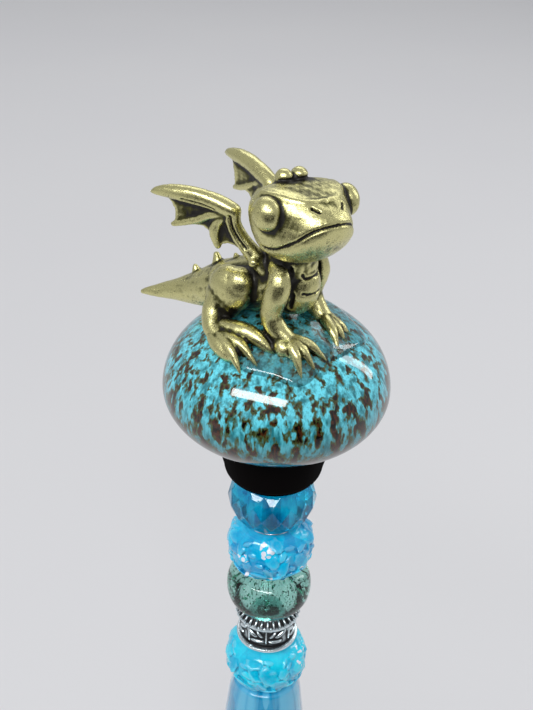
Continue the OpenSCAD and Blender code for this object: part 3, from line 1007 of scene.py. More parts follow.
@dataclass
class Dragon:
    """The baby dragon. Its frame is X forward, Y its left, Z up from the knob's widest line."""

    turn: float = -38.0
    sideways: float = -1.5
    head_at: Point = (5.46, -1.0, 28.2)
    head_turn: Point = (-4.0, -21.6, -14.8)
    far_wing: Point = (-1.2, 0.35, 0.75)
    voxel: float = 0.185

    def __post_init__(self) -> None:
        """Finds the knob, and the frames of dragon and head."""
        _, high = node_span("ceramic_knob")
        self.radius = node_radius("ceramic_knob")
        self.rise = DOME_RISE
        self.rim = high - self.rise
        roll, pitch, yaw = (math.radians(a) for a in self.head_turn)
        self.head = (Matrix.Translation(self.head_at) @ Matrix.Rotation(yaw, 4, "Z")
                     @ Matrix.Rotation(pitch, 4, "Y") @ Matrix.Rotation(roll, 4, "X"))
        self.place = (Matrix.Translation((0, 0, self.rim))
                      @ Matrix.Rotation(math.radians(self.turn), 4, "Z")
                      @ Matrix.Translation((0, self.sideways, 0)))

    def on_dome(self, x: float, y: float, lift: float) -> Point:
        """A place above the knob's dome, in the dragon's frame."""
        away = math.hypot(x, y + self.sideways)
        return x, y, self.rise * math.sqrt(max(0.0, 1 - (away / self.radius) ** 2)) + lift

    def over_dome(self, points: np.ndarray) -> np.ndarray:
        """The height of points over the knob's dome."""
        away = np.hypot(points[:, 0], points[:, 1] + self.sideways)
        return points[:, 2] - self.rise * np.sqrt(np.maximum(0.0, 1 - (away / self.radius) ** 2))

    def trunk(self) -> list[bpy.types.Object]:
        """Hips, flanks, chest, neck, tail and the spikes along it."""
        parts = limb([(-7.4, 0, 13.9, 3.6), (-4.0, 0, 15.3, 3.9), (-0.6, 0, 16.7, 4.1), (2.0, 0, 18.8, 3.7),
                      (3.2, -0.4, 22.4, 3.2), (3.8, -0.7, 25.0, 3.0)])
        parts += limb([(-6.5, 0, 14.2, 3.7), (-10.2, 0, 12.6, 3.2), (-14.0, -0.3, 11.0, 2.4),
                       (-17.4, -1.3, 10.0, 1.5), (-20.2, -2.5, 9.3, 0.85), (-22.0, -3.1, 8.8, 0.4)])
        parts.append(ball((3.2, 0.3, 17.5), (3.7, 3.3, 4.4), (0, 4, 0)))
        parts.append(ball((3.4, 0.2, 20.6), (2.9, 3.1, 2.4)))
        for at, size, tall in (((-13.5, -0.2, 12.6), 1.15, 1.9), ((-9.7, 0.0, 15.0), 1.3, 2.5),
                               ((-6.2, 0.0, 17.3), 1.0, 1.3)):
            parts += limb([(*at, size), (at[0] - 0.2, at[1], at[2] + tall * 0.55, size * 0.7),
                           (at[0] - 0.5, at[1], at[2] + tall, size * 0.36)])
        return parts

    def toe(self, start: Point, end: tuple[float, float], size: float) -> list[bpy.types.Object]:
        """A knuckled toe with a claw that reaches down to the dome.

        Args:
            start: where it leaves the foot.
            end: the claw's tip on the dome.
            size: the toe's radius at its knuckle.

        Returns:
            The toe.
        """
        def along(share: float, lift: float) -> Point:
            """A place between start and tip, at a height over the dome."""
            x, y = start[0] + (end[0] - start[0]) * share, start[1] + (end[1] - start[1]) * share
            return self.on_dome(x, y, lift)
        return limb([(*start, size * 1.15), (*along(0.32, size * 1.75), size),
                     (*along(0.6, size * 1.6), size * 0.86), (*along(0.82, size * 0.85), size * 0.52),
                     (*along(1.0, 0.1), 0.16)])

    def front_leg(self) -> list[bpy.types.Object]:
        """The right front leg, down to its claws."""
        parts = limb([(2.8, -2.8, 20.9, 1.3), (4.0, -3.9, 20.0, 1.5), (4.0, -4.4, 18.2, 1.7),
                      (3.4, -4.5, 16.0, 1.55), (3.3, -4.5, 14.4, 1.45), (4.2, -4.3, 12.8, 1.45),
                      (5.4, -4.1, 11.8, 1.35)])
        start = self.on_dome(5.6, -4.0, 1.35)
        for tip, size in (((9.6, -5.8), 0.82), ((10.1, -3.7), 0.8), ((10.3, -1.4), 0.8)):
            parts += self.toe(start, tip, size)
        parts.append(ball(self.on_dome(5.4, -4.9, 0.8), (1.7, 1.1, 1.2), (0, 15, -35)))
        parts.append(ball(self.on_dome(6.6, -3.8, 0.3), (2.0, 1.9, 0.7), (0, 22, 0)))
        return parts

    def hind_leg(self) -> list[bpy.types.Object]:
        """The right hind leg, folded beside the hips."""
        parts = [ball((-3.7, -4.5, 16.2), (3.4, 2.3, 3.3), (0, -18, 0)),
                 ball((-4.7, -4.7, 14.4), (2.9, 2.25, 2.9)), ball((-2.4, -4.3, 17.4), (2.3, 2.1, 2.2))]
        parts += limb([(-5.0, -5.0, 14.4, 2.1), (-5.0, -6.3, 12.7, 1.75), (-4.1, -7.4, 11.5, 1.6),
                       (-2.8, -7.9, 11.0, 1.45)])
        start = self.on_dome(-3.0, -8.1, 1.5)
        parts += self.toe(start, (2.9, -10.2), 0.98) + self.toe(start, (4.2, -8.4), 0.95)
        parts += limb([(-2.6, -7.0, 11.6, 1.4), (0.4, -6.6, 12.1, 1.25), (2.4, -6.3, 11.7, 1.1),
                       (3.9, -6.1, 10.9, 0.75), (4.9, -5.9, 10.1, 0.25)])
        parts.append(ball(self.on_dome(-1.2, -8.7, 0.8), (3.2, 1.7, 1.5), (0, 14, -12)))
        return parts

    def wing(self) -> list[bpy.types.Object]:
        """The right wing: arm, broad leading bone, two fingers and the skin between them."""
        wrist = (-3.7, -4.55, 27.5)
        lead = [wrist, (-5.2, -5.0, 28.0), (-6.8, -5.5, 28.35), (-8.6, -6.15, 28.6), (-10.4, -6.7, 28.65),
                (-12.2, -7.2, 28.55), (-13.7, -7.7, 28.3), (-14.5, -7.9, 28.05)]
        second = [(-4.4, -4.7, 27.0), (-6.4, -5.3, 26.3), (-8.3, -5.8, 25.3), (-10.2, -6.3, 24.5),
                  (-11.8, -6.75, 23.9)]
        third = [(-4.4, -4.6, 26.6), (-5.6, -4.9, 25.3), (-6.1, -4.95, 23.7), (-5.8, -4.7, 21.9)]
        arm = [(-3.5, -4.4, 27.3), (-3.5, -4.3, 25.6), (-2.8, -3.9, 24.0), (-1.8, -3.5, 22.6),
               (-0.7, -3.0, 21.3), (0.7, -2.2, 19.6)]
        parts = []
        for bone, radii in ((lead, (1.1, 1.15, 1.15, 1.15, 1.08, 0.9, 0.6, 0.28)),
                            (second, (0.8, 0.62, 0.6, 0.52, 0.4)), (third, (0.7, 0.75, 0.78, 0.5)),
                            (arm, (1.1, 1.0, 1.05, 1.1, 1.25, 1.5))):
            parts += limb([(*p, r) for p, r in zip(bone, radii)])
        parts.append(ball((-0.2, -4.1, 21.0), (0.65, 0.65, 0.65)))
        root = [*arm[:3], (-2.6, -3.7, 22.9), (-2.4, -3.6, 21.7)]
        parts += [self.skin([*lead[:6], (-12.9, -7.45, 28.3)], second, 0.12),
                  self.skin(second[:4], third, 0.22), self.skin(third, root, 0.10)]
        return parts

    def skin(self, one: Sequence[Point], other: Sequence[Point], bow: float,
             columns: int = 14) -> bpy.types.Object:
        """A sheet of wing skin stretched between two bones, with a hollow free edge.

        Args:
            one: a bone, from the wrist out.
            other: the next bone, from the wrist out.
            bow: how far the free edge draws back, as a share of the bones' length.
            columns: strips across and along the sheet.

        Returns:
            The sheet with its thickness.
        """
        bpy.ops.object.select_all(action="DESELECT")
        bpy.ops.mesh.primitive_grid_add(x_subdivisions=columns, y_subdivisions=columns, size=1.0)
        sheet = active()
        bones = [[np.array(p) for p in through(bone, 12)] for bone in (one, other)]
        grid = points_of(sheet)
        for k, (u, v, _) in enumerate(grid + 0.5):
            reach = u * (1.0 - bow * math.sin(math.pi * v))
            pair = [bone[min(int(reach * (len(bone) - 1)), len(bone) - 1)] for bone in bones]
            sag = 0.3 * math.sin(math.pi * v) * u
            grid[k] = pair[0] * (1 - v) + pair[1] * v + np.array((0.1, 1.0, 0.0)) * sag
        set_points(sheet, grid)
        run_modifier(sheet, "SOLIDIFY", thickness=0.5, offset=0.0)
        return sheet

    SKULL: ClassVar[tuple[tuple[float, tuple[tuple[float, float], ...]], ...]] = (
        (-6.0, ((0, 2.9), (1.8, 2.8), (3.2, 2.2), (3.9, 0.6), (3.4, -1.6),
                (2.6, -2.8), (1.3, -3.4), (0, -3.6))),
        (-4.4, ((0, 4.3), (2.6, 4.25), (5.0, 3.7), (6.2, 1.2), (5.4, -2.4),
                (4.4, -3.7), (2.4, -4.8), (0, -5.1))),
        (-2.0, ((0, 4.75), (2.8, 4.75), (5.7, 4.3), (7.1, 1.3), (6.0, -2.9),
                (5.0, -4.2), (2.8, -5.4), (0, -5.8))),
        (-0.4, ((0, 4.3), (2.8, 4.35), (5.7, 4.2), (7.0, 1.2), (5.9, -3.2),
                (5.0, -4.5), (2.8, -5.6), (0, -6.0))),
        (1.2, ((0, 3.5), (2.6, 3.6), (5.4, 3.85), (6.4, 1.0), (5.5, -3.2),
                (4.6, -4.6), (2.6, -5.5), (0, -5.8))),
        (2.4, ((0, 2.85), (2.4, 2.95), (4.5, 3.2), (5.4, 0.7), (5.0, -3.0),
                (4.2, -4.3), (2.4, -5.0), (0, -5.3))),
        (3.4, ((0, 2.35), (2.2, 2.42), (3.6, 2.5), (4.4, 0.3), (4.6, -2.75),
                (3.9, -3.9), (2.1, -4.5), (0, -4.8))),
        (4.3, ((0, 1.85), (1.7, 1.9), (2.8, 1.75), (3.7, 0.0), (4.1, -2.4),
                (3.5, -3.4), (1.9, -4.0), (0, -4.2))),
        (5.3, ((0, 0.85), (1.5, 0.85), (2.3, 0.6), (3.0, -0.5), (3.3, -1.8),
                (2.9, -2.8), (1.6, -3.3), (0, -3.4))),
        (6.0, ((0, 0.0), (1.1, -0.1), (1.6, -0.35), (2.0, -0.9), (2.2, -1.5),
                (1.9, -2.1), (1.0, -2.45), (0, -2.5))),
        (6.45, ((0, -0.9), (0.5, -0.95), (0.8, -1.05), (0.9, -1.25), (0.9, -1.45),
                (0.8, -1.6), (0.4, -1.7), (0, -1.75))),
    )

    def skull(self) -> list[bpy.types.Object]:
        """The head, in its own frame: flat crown, wide cheeks, blunt snout, bulging eyes, two nubs."""
        rings = []
        for x, half in self.SKULL:
            outline = [*half, *((-y, z) for y, z in reversed(half[1:-1]))]
            bpy.ops.object.select_all(action="DESELECT")
            bpy.ops.mesh.primitive_circle_add(vertices=len(outline), fill_type="NOTHING")
            ring = active()
            set_points(ring, np.array([(x, y, z) for y, z in outline], float))
            rings.append(ring)
        skull = joined(rings, "skull")
        with editing(skull, "EDGE"):
            bpy.ops.mesh.bridge_edge_loops()
            bpy.ops.mesh.select_all(action="SELECT")
            bpy.ops.mesh.fill_holes(sides=0)
            bpy.ops.mesh.normals_make_consistent(inside=False)
        run_modifier(skull, "SUBSURF", levels=3, render_levels=3)
        for side in (1, -1):
            socket = ball((0.35, 7.75 * side, 1.15), (3.2, 2.35, 2.9), (0, 0, -10 * side), 48)
            run_modifier(skull, "BOOLEAN", operation="DIFFERENCE", solver="EXACT", object=socket)
            bpy.data.objects.remove(socket, do_unlink=True)
        side = [ball((0.6, -6.25, 1.15), (2.1, 1.6, 2.15), (0, 0, 8)),
                ball((-1.9, -1.2, 5.0), (1.25, 1.15, 1.2))]
        parts = [skull, *side, *mirrored(side)]
        move_all(parts, self.head)
        return parts

    def in_head(self, path: Sequence[Point]) -> list[Point]:
        """A path of the head's frame, in the dragon's."""
        return [tuple(self.head @ Vector(p)) for p in path]

    def tool(self, cast: Casting) -> None:
        """Presses the mouth, nostrils, belly plates and folds into the casting, and raises a brow ridge.

        Args:
            cast: the fused casting, in the dragon's frame.
        """
        tree = cast.search()

        def both(path: Sequence[Point], width: float, depth: float, head: bool = False,
                 shift: Point = (0, 0, 0)) -> None:
            """One stroke on each side."""
            for sign in (1, -1):
                move = shift if sign < 0 else (0, 0, 0)
                side = [(x + move[0], sign * y + move[1], z + move[2]) for x, y, z in path]
                cast.stroke(self.in_head(side) if head else side, width, depth, tree=tree)

        both([(-2.0, -5.6, -2.9), (-0.9, -5.6, -3.25), (0.4, -5.5, -3.4), (1.8, -5.2, -3.15),
              (3.2, -4.8, -2.8), (4.2, -4.3, -2.35), (5.1, -3.6, -1.85), (5.8, -2.6, -1.5),
              (6.2, -1.5, -1.35), (6.4, 0.0, -1.3)], 0.22, 0.42, head=True)
        both([(5.0, -2.5, 1.25), (5.4, -1.8, 0.55)], 0.22, 0.6, head=True)
        both([(-1.0, -5.7, 4.3), (1.2, -5.3, 3.85), (2.3, -4.6, 3.25), (3.1, -4.0, 2.75), (3.9, -3.0, 2.3),
              (4.25, -1.6, 2.0), (4.4, 0.0, 1.85)], 0.42, -0.13, head=True)
        both([(-1.6, -1.9, 4.6), (-0.9, -1.0, 4.6), (-1.0, -0.1, 4.6)], 0.22, 0.2, head=True)
        for height, bow, half in ((20.2, 0.4, 2.1), (17.8, 0.5, 2.5)):
            plate = [(6.8, y + 0.3, height - bow * (1 - (y / 3.2) ** 2))
                     for y in (-half, -half / 2, 0.0, half / 2, half)]
            cast.stroke(plate, 0.2, 0.36, tree=tree)
        both([(4.9, -2.9, 21.3), (5.5, -2.9, 18.5), (4.9, -2.8, 15.0)], 0.3, 0.45)
        both([(2.1, -4.4, 20.6), (1.9, -4.6, 18.0), (1.5, -4.6, 15.0)], 0.36, 0.45)
        both([(-9.6, -7.6, 28.1), (-7.4, -6.9, 27.9), (-5.4, -6.1, 27.4)], 0.2, 0.26, shift=self.far_wing)
        both([(-3.2, -5.6, 26.8), (-3.0, -5.3, 25.4), (-2.3, -5.0, 24.0), (-1.3, -4.6, 22.8)], 0.3, 0.42,
             shift=self.far_wing)

    def build(self) -> None:
        """Casts the dragon and hands it over."""
        cast = Casting("dragon_cast", self.voxel)
        legs, wing = self.front_leg() + self.hind_leg(), self.wing()
        far = mirrored(wing)
        move_all(far, Matrix.Translation(self.far_wing))
        cast.masses = self.trunk() + legs + mirrored(legs) + wing + far + self.skull()
        cast.fuse(soften=5)
        self.tool(cast)
        cast.roughen(scale=2.2, depth=0.05, seed=3)
        cast.weather_and_shade(reach=6.0, ground=self.over_dome)
        cast.piece.matrix_world = self.place
        select_only(cast.piece)
        bpy.ops.object.transform_apply(location=True, rotation=True, scale=True)
        smooth(cast.piece, 180.0)
        hand_over(cast.piece, "wand", Paint.BRASS_CAST.dressed, ["dragon_figure"])


# ---------------------------------------------------------------- knob and glue


def arc(centre: tuple[float, float], radii: tuple[float, float], start: float, end: float,
        steps: int) -> list[tuple[float, float]]:
    """Points of an elliptical arc in (radius, height).

    Args:
        centre: the ellipse's centre.
        radii: its two radii.
        start: first angle in degrees, from outwards towards up.
        end: last angle.
        steps: spans.

    Returns:
        steps + 1 points.
    """
    angles = [math.radians(start + (end - start) * k / steps) for k in range(steps + 1)]
    return [(centre[0] + radii[0] * math.cos(a), centre[1] + radii[1] * math.sin(a)) for a in angles]


@dataclass
class Knob:
    """The glazed drawer knob, with the bore for the brass bush in its foot."""

    rise: float = DOME_RISE
    drop: float = 9.0
    foot_radius: float = 7.5
    edge: float = 2.2
    bore: float = 4.05
    bore_depth: float = 12.2

    def build(self) -> None:
        """Turns the knob as one skin, bore and all."""
        low, high = node_span("ceramic_knob")
        radius, rim = node_radius("ceramic_knob"), high - self.rise
        waist = self.foot_radius + 1.2
        meet = math.degrees(math.acos(waist / radius))
        outline = [(0.0, high)]
        outline += arc((0, rim), (radius, self.rise), 89.0, 0.0, 44)
        outline += arc((0, rim), (radius, self.drop), -2.0, -meet, 34)
        outline += [(waist - 0.45, rim - self.drop * math.sin(math.radians(meet)) - 0.3)]
        outline += [(self.foot_radius + 0.35, low + self.edge + 1.4)]
        outline += arc((self.foot_radius - self.edge, low + self.edge), (self.edge, self.edge), 0, -90, 8)
        outline += [(self.bore, low), (self.bore, low + self.bore_depth), (0.0, low + self.bore_depth)]
        piece = lathe("glazed_knob", outline, 160)
        smooth(piece, 50.0)
        glaze = ReactiveGlaze(rim=rim)
        hand_over(piece, "wand", glaze.material(), ["ceramic_knob"])


@dataclass
class GluePool:
    """Clear glue that has run out round the feet, with a lobed edge."""

    rise: float = DOME_RISE
    thickness: float = 0.75
    middle: tuple[float, float] = (0.6, -1.2)
    reach: float = 10.6

    def build(self) -> None:
        """Shapes a disc to the dome and lets its edge wander."""
        _, high = node_span("ceramic_knob")
        radius, rim = node_radius("ceramic_knob"), high - self.rise
        rows = 24
        outline = [(self.reach * k / rows, 1.0) for k in range(rows + 1)]
        outline += [(self.reach * k / rows, 0.0) for k in range(rows, -1, -1)]
        piece = lathe("glue_run", outline, 120)
        points = points_of(piece)
        angle = np.arctan2(points[:, 1], points[:, 0])
        away = np.hypot(points[:, 0], points[:, 1])
        lobes = (1 + 0.055 * np.sin(3 * angle + 0.6) + 0.045 * np.sin(5 * angle + 2.0)
                 + 0.025 * np.sin(9 * angle + 1.0))
        share = away / self.reach
        x = away * lobes * np.cos(angle) + self.middle[0]
        y = away * lobes * np.sin(angle) + self.middle[1]
        dome = self.rise * np.sqrt(np.maximum(0.0, 1 - (x ** 2 + y ** 2) / radius ** 2)) + rim
        swell = self.thickness * np.sqrt(np.maximum(0.0, 1 - share ** 3))
        top = points[:, 2] > 0.5
        set_points(piece, np.stack([x, y, np.where(top, dome + swell, dome - 0.02)], axis=1))
        tidy_mesh(piece, 0.001)
        smooth(piece, 60.0)
        hand_over(piece, "wand", Paint.EPOXY.dressed, ["glue_pool"])


# ---------------------------------------------------------------- beads


@dataclass
class FacetedBead:
    """A cut-glass bead with facets between staggered rings of corners."""

    node: str
    body: str
    sides: int = 14
    bore: float = 2.5
    rows: tuple[tuple[float, float, float], ...] = (
        (0.0, 0.56, 0.0), (0.10, 0.76, 0.5), (0.29, 0.93, 0.0), (0.5, 1.0, 0.5), (0.71, 0.93, 0.0),
        (0.90, 0.76, 0.5), (1.0, 0.56, 0.0))

    def build(self) -> None:
        """Stacks rings, closes them in their hull and drills the bore."""
        low, high = node_span(self.node)
        radius, height = node_radius(self.node), high - low
        rings = []
        for share, wide, stagger in self.rows:
            bpy.ops.mesh.primitive_circle_add(
                vertices=self.sides, radius=wide * radius, location=(0, 0, low + share * height),
                rotation=(0, 0, stagger * math.tau / self.sides))
            rings.append(active())
        piece = joined(rings, self.node.replace("bead", "cut_bead"))
        with editing(piece):
            bpy.ops.mesh.convex_hull()
            bpy.ops.mesh.dissolve_limited(angle_limit=math.radians(1.0))
        drill(piece, self.bore, low, high)
        run_modifier(piece, "BEVEL", width=0.09, segments=2, limit_method="ANGLE",
                     angle_limit=math.radians(12))
        smooth(piece, 8.0)
        hand_over(piece, self.body, Paint.BLUE_GLASS.dressed, [self.node])


def drill(piece: bpy.types.Object, radius: float, low: float, high: float) -> None:
    """Drills a round bore through a piece along the wand's axis.

    Args:
        piece: the closed piece.
        radius: the bore's radius.
        low: the piece's foot.
        high: its top.
    """
    bpy.ops.object.select_all(action="DESELECT")
    bpy.ops.mesh.primitive_cylinder_add(vertices=64, radius=radius, depth=high - low + 4,
                                        location=(0, 0, (low + high) / 2))
    bit = active()
    run_modifier(piece, "BOOLEAN", operation="DIFFERENCE", solver="EXACT", object=bit)
    bpy.data.objects.remove(bit, do_unlink=True)


def barrel(radius: float, end: float, low: float, high: float, full: float = 2.0,
           steps: int = 32) -> list[tuple[float, float]]:
    """The side of a barrel, from its foot to its top.

    Args:
        radius: its widest radius.
        end: the radius of its end faces.
        low: its foot.
        high: its top.
        full: 2 for an ellipse, more for a fuller side.
        steps: spans.

    Returns:
        (radius, height) points.
    """
    side = []
    for k in range(steps + 1):
        a = math.radians(-90 + 180 * k / steps)
        out = abs(math.cos(a)) ** (2 / full)
        up = math.copysign(abs(math.sin(a)) ** (2 / full), a)
        side.append((end + (radius - end) * out, (low + high) / 2 + (high - low) / 2 * up))
    return side


@dataclass
class CoreTube:
    """A plated tube through a bead, rolled over at both ends."""

    node: str
    body: str
    bore: float = 2.5
    wall: float = 0.6
    lip: float = 0.4

    def build(self) -> None:
        """Turns the tube with its rolled lips."""
        low, high = node_span(self.node)
        flange = node_radius(self.node)
        tube = self.bore + self.wall
        roll = self.lip / 2
        outline = [(self.bore, low + roll),
                   *arc((self.bore + roll, low + roll), (roll, roll), 180, 270, 4)[1:]]
        outline += arc((flange - roll, low + roll), (roll, roll), -90, 90, 8)
        outline += [(tube + 0.15, low + self.lip), (tube, low + self.lip + 0.15)]
        outline += [(tube, high - self.lip - 0.15), (tube + 0.15, high - self.lip)]
        outline += arc((flange - roll, high - roll), (roll, roll), -90, 90, 8)
        outline += [*arc((self.bore + roll, high - roll), (roll, roll), 90, 180, 4),
                    (self.bore, low + roll)]
        piece = lathe(self.node.replace("core", "eyelet"), outline, 80)
        smooth(piece, 45.0)
        hand_over(piece, self.body, Paint.SILVER_PLATE.dressed, [self.node])


@dataclass
class ChipBead:
    """A resin bead set all over with thick chips of pearl."""

    node: str
    body: str
    paint: Paint
    seed: int
    bore: float = 3.2
    end: float = 3.95
    chips: int = 104
    cover: float = 0.87
    sway: float = 0.10
    lift: float = 0.36
    voxel: float = 0.13

    def build(self) -> None:
        """Sets chips into a barrel, each turned and tilted its own way, and fuses them."""
        low, high = node_span(self.node)
        radius = node_radius(self.node) - self.lift
        side = barrel(radius, self.end, low, high, 2.05, 24)
        cast = Casting(self.node.replace("bead", "set_bead"), self.voxel)
        cast.masses = [lathe("blank", [(self.bore, low), *side, (self.bore, high), (self.bore, low)], 72)]
        draw = np.random.default_rng(self.seed)
        middle, half = (low + high) / 2, (high - low) / 2
        golden = math.pi * (3 - math.sqrt(5))
        centres = []
        for k in range(self.chips):
            rise = math.asin(self.cover * (1 - 2 * (k + 0.5) / self.chips))
            turn = golden * k + draw.uniform(-0.15, 0.15)
            away = self.end + (radius - self.end) * math.cos(rise)
            at = Vector((away * math.cos(turn), away * math.sin(turn), middle + half * math.sin(rise)))
            slope = math.atan2(math.sin(rise) / half, math.cos(rise) / (radius - self.end + 2.0))
            way = Vector((math.cos(slope) * math.cos(turn), math.cos(slope) * math.sin(turn),
                          math.sin(slope)))
            way = (way + Vector(draw.normal(0.0, self.sway, 3))).normalized()
            cast.masses.append(self.chip(at, way, draw))
            centres.append(tuple(at))
        cast.fuse(soften=3)
        cast.weather_and_shade(fine=4, wide=30, broad=90, reach=1.0, rays=6)
        self.count_chips(cast, np.array(centres), draw)
        smooth(cast.piece, 180.0)
        hand_over(cast.piece, self.body, self.paint.dressed, [self.node])

    def chip(self, at: Vector, way: Vector, draw: np.random.Generator) -> bpy.types.Object:
        """One chip with a few facets.

        Args:
            at: its middle, in millimetres.
            way: the direction its flat side faces.
            draw: the bead's own draw.

        Returns:
            The chip.
        """
        long = draw.uniform(0.85, 1.5)
        wide = long * draw.uniform(0.55, 0.9)
        size = (long, wide, self.lift + 0.16)
        chip = ball(at, size, (0, 0, 0), 7 + int(draw.integers(0, 3)))
        turn = (way.to_track_quat("Z", "Y").to_matrix().to_4x4()
                @ Matrix.Rotation(draw.uniform(0, math.pi), 4, "Z"))
        chip.matrix_world = Matrix.Translation(at) @ turn @ Matrix.Diagonal((*size, 1.0))
        return chip

    def count_chips(self, cast: Casting, centres: np.ndarray, draw: np.random.Generator) -> None:
        """Writes a value for each chip to the points that lie nearest to it.

        Args:
            cast: the fused bead.
            centres: the chips' middles.
            draw: the bead's own draw.
        """
        points = points_of(cast.piece)
        nearest = np.concatenate([np.linalg.norm(part[:, None] - centres[None], axis=2).argmin(1)
                                  for part in np.array_split(points, 12)])
        values = draw.uniform(0.0, 1.0, len(centres))[nearest]
        layer = cast.piece.data.attributes.new("chip", "FLOAT", "POINT")
        layer.data.foreach_set("value", values.astype(np.float32))


@dataclass
class GlitterBead:
    """A clear glass bead with flakes of glitter cast in it."""

    node: str
    body: str
    seed: int
    bore: float = 3.2
    end: float = 4.3
    flakes: int = 900

    def build(self) -> None:
        """Turns the glass and scatters the flakes in it."""
        low, high = node_span(self.node)
        radius = node_radius(self.node)
        outline = barrel(radius, self.end, low, high, 2.1, 36)
        outline = [(self.bore, low), *outline, (self.bore, high), (self.bore, low)]
        piece = lathe(self.node.replace("bead", "glass"), outline, 96)
        smooth(piece, 45.0)
        hand_over(piece, self.body, Paint.GREEN_GLASS.dressed, [self.node])
        flakes = self.scatter(low, high, radius)
        hand_over(flakes, self.body, Paint.GLITTER.dressed)

    def scatter(self, low: float, high: float, radius: float) -> bpy.types.Object:
        """Six-sided flakes at seeded places and turns between the bore and the skin.

        Args:
            low: the glass's foot.
            high: its top.
            radius: its widest radius.

        Returns:
            One mesh with every flake.
        """
        draw = np.random.default_rng(self.seed)
        bpy.ops.object.select_all(action="DESELECT")
        bpy.ops.mesh.primitive_cylinder_add(vertices=6, radius=1.0, depth=0.16)
        seedling = active()
        shape, loops = points_of(seedling), [tuple(p.vertices) for p in seedling.data.polygons]
        corners, faces = [], []
        middle, half = (low + high) / 2, (high - low) / 2
        while len(faces) < self.flakes * len(loops):
            up = draw.uniform(-0.94, 0.94)
            skin = self.end + (radius - self.end) * math.sqrt(1 - up * up) - 0.35
            inner = self.bore + 0.25
            away = inner + (skin - inner) * draw.uniform(0, 1) ** (0.6 if draw.uniform() < 0.6 else 2.2)
            turn = draw.uniform(0, math.tau)
            at = np.array((away * math.cos(turn), away * math.sin(turn), middle + half * up))
            spin = np.array(Euler(draw.uniform(0, math.tau, 3)).to_matrix())
            size = draw.uniform(0.05, 0.14) * (1.8 if draw.uniform() < 0.08 else 1.0)
            base = len(corners)
            corners.extend((shape * size) @ spin.T + at)
            faces.extend(tuple(base + k for k in loop) for loop in loops)
        seedling.data.clear_geometry()
        seedling.data.from_pydata([tuple(c) for c in corners], [], faces)
        seedling.data.update()
        seedling.name = self.node.replace("bead", "flakes")
        return seedling


@dataclass
class SilverSpacer:
    """A cast silver spacer: a fluted upper bevel, and a winged motif with leaves four times round."""

    node: str
    body: str
    bore: float = 2.5
    end: float = 4.25
    flutes: int = 32
    motifs: int = 4
    voxel: float = 0.088

    def build(self) -> None:
        """Casts the spacer and hands it over."""
        low, high = node_span(self.node)
        radius = node_radius(self.node)
        bevel, band = 1.05, radius - 0.80
        outline = [(self.bore, low), (self.end, low), (self.end + 0.35, low + 0.12),
                   (radius - 0.15, low + 0.75), (radius - 0.15, low + 1.25), (band, low + 1.4),
                   (band, high - bevel - 0.75),
                   (radius - 0.05, high - bevel - 0.6), (radius - 0.05, high - bevel - 0.05),
                   (self.end + 0.1, high - 0.15), (self.end, high), (self.bore, high), (self.bore, low)]
        cast = Casting(self.node.replace("spacer", "cast_spacer"), self.voxel)
        cast.masses = [lathe("blank", outline, 96)]
        for k in range(self.flutes):
            turn = math.tau * k / self.flutes
            cast.masses.append(self.tooth(turn, high - 0.55, radius))
        middle = (low + high) / 2 - 0.2
        for k in range(self.motifs):
            cast.masses += self.motif(math.tau * k / self.motifs + math.radians(-92), middle, band)
        cast.fuse(soften=2)

        def over_band(points: np.ndarray) -> np.ndarray:
            """Height over the band, stretched so that its ground stays black between the motifs."""
            over = (np.hypot(points[:, 0], points[:, 1]) - band - 0.03) * 9.0
            inside = (points[:, 2] > low + 1.3) & (points[:, 2] < high - bevel - 0.6) & (over > -0.9)
            return np.where(inside, over, 9.0)

        cast.weather_and_shade(fine=5, wide=50, broad=120, reach=0.8, rays=8, ground=over_band)
        smooth(cast.piece, 180.0)
        hand_over(cast.piece, self.body, Paint.SILVER_CAST.dressed, [self.node])

    def tooth(self, turn: float, height: float, radius: float) -> bpy.types.Object:
        """One tooth between two flutes of the upper bevel."""
        away = (self.end + radius) / 2 + 0.1
        return ball((away * math.cos(turn), away * math.sin(turn), height), (0.9, 0.24, 0.42),
                    (0, 45, math.degrees(turn)), 12)

    def motif(self, turn: float, height: float, band: float) -> list[bpy.types.Object]:
        """A body, two wings and four leaves, laid on the band.

        Args:
            turn: the motif's angle round the spacer.
            height: its middle.
            band: the band's radius.

        Returns:
            The motif's masses.
        """
        shapes = [(0.0, 0.0, 0.44, 1.2, 0), (1.52, -0.80, 1.1, 0.56, -5), (-1.52, -0.80, 1.1, 0.56, 5),
                  (1.08, 0.70, 0.5, 0.88, -42), (-1.08, 0.70, 0.5, 0.88, 42),
                  (2.50, 0.60, 0.62, 1.05, -60), (-2.50, 0.60, 0.62, 1.05, 60), (4.08, 0.0, 0.46, 1.30, 0)]
        masses = []
        for across, up, wide, tall, lean in shapes:
            angle = turn + across / band
            masses.append(ball((band * math.cos(angle), band * math.sin(angle), height + up),
                               (0.62, wide, tall), (0, 0, 0), 18))
            lean_by = Matrix.Rotation(angle, 4, "Z") @ Matrix.Rotation(math.radians(lean), 4, "X")
            place = masses[-1].location.copy()
            masses[-1].matrix_world = (Matrix.Translation(place) @ lean_by
                                       @ Matrix.Diagonal((0.62, wide, tall, 1.0)))
        return masses


# ---------------------------------------------------------------- handle and point


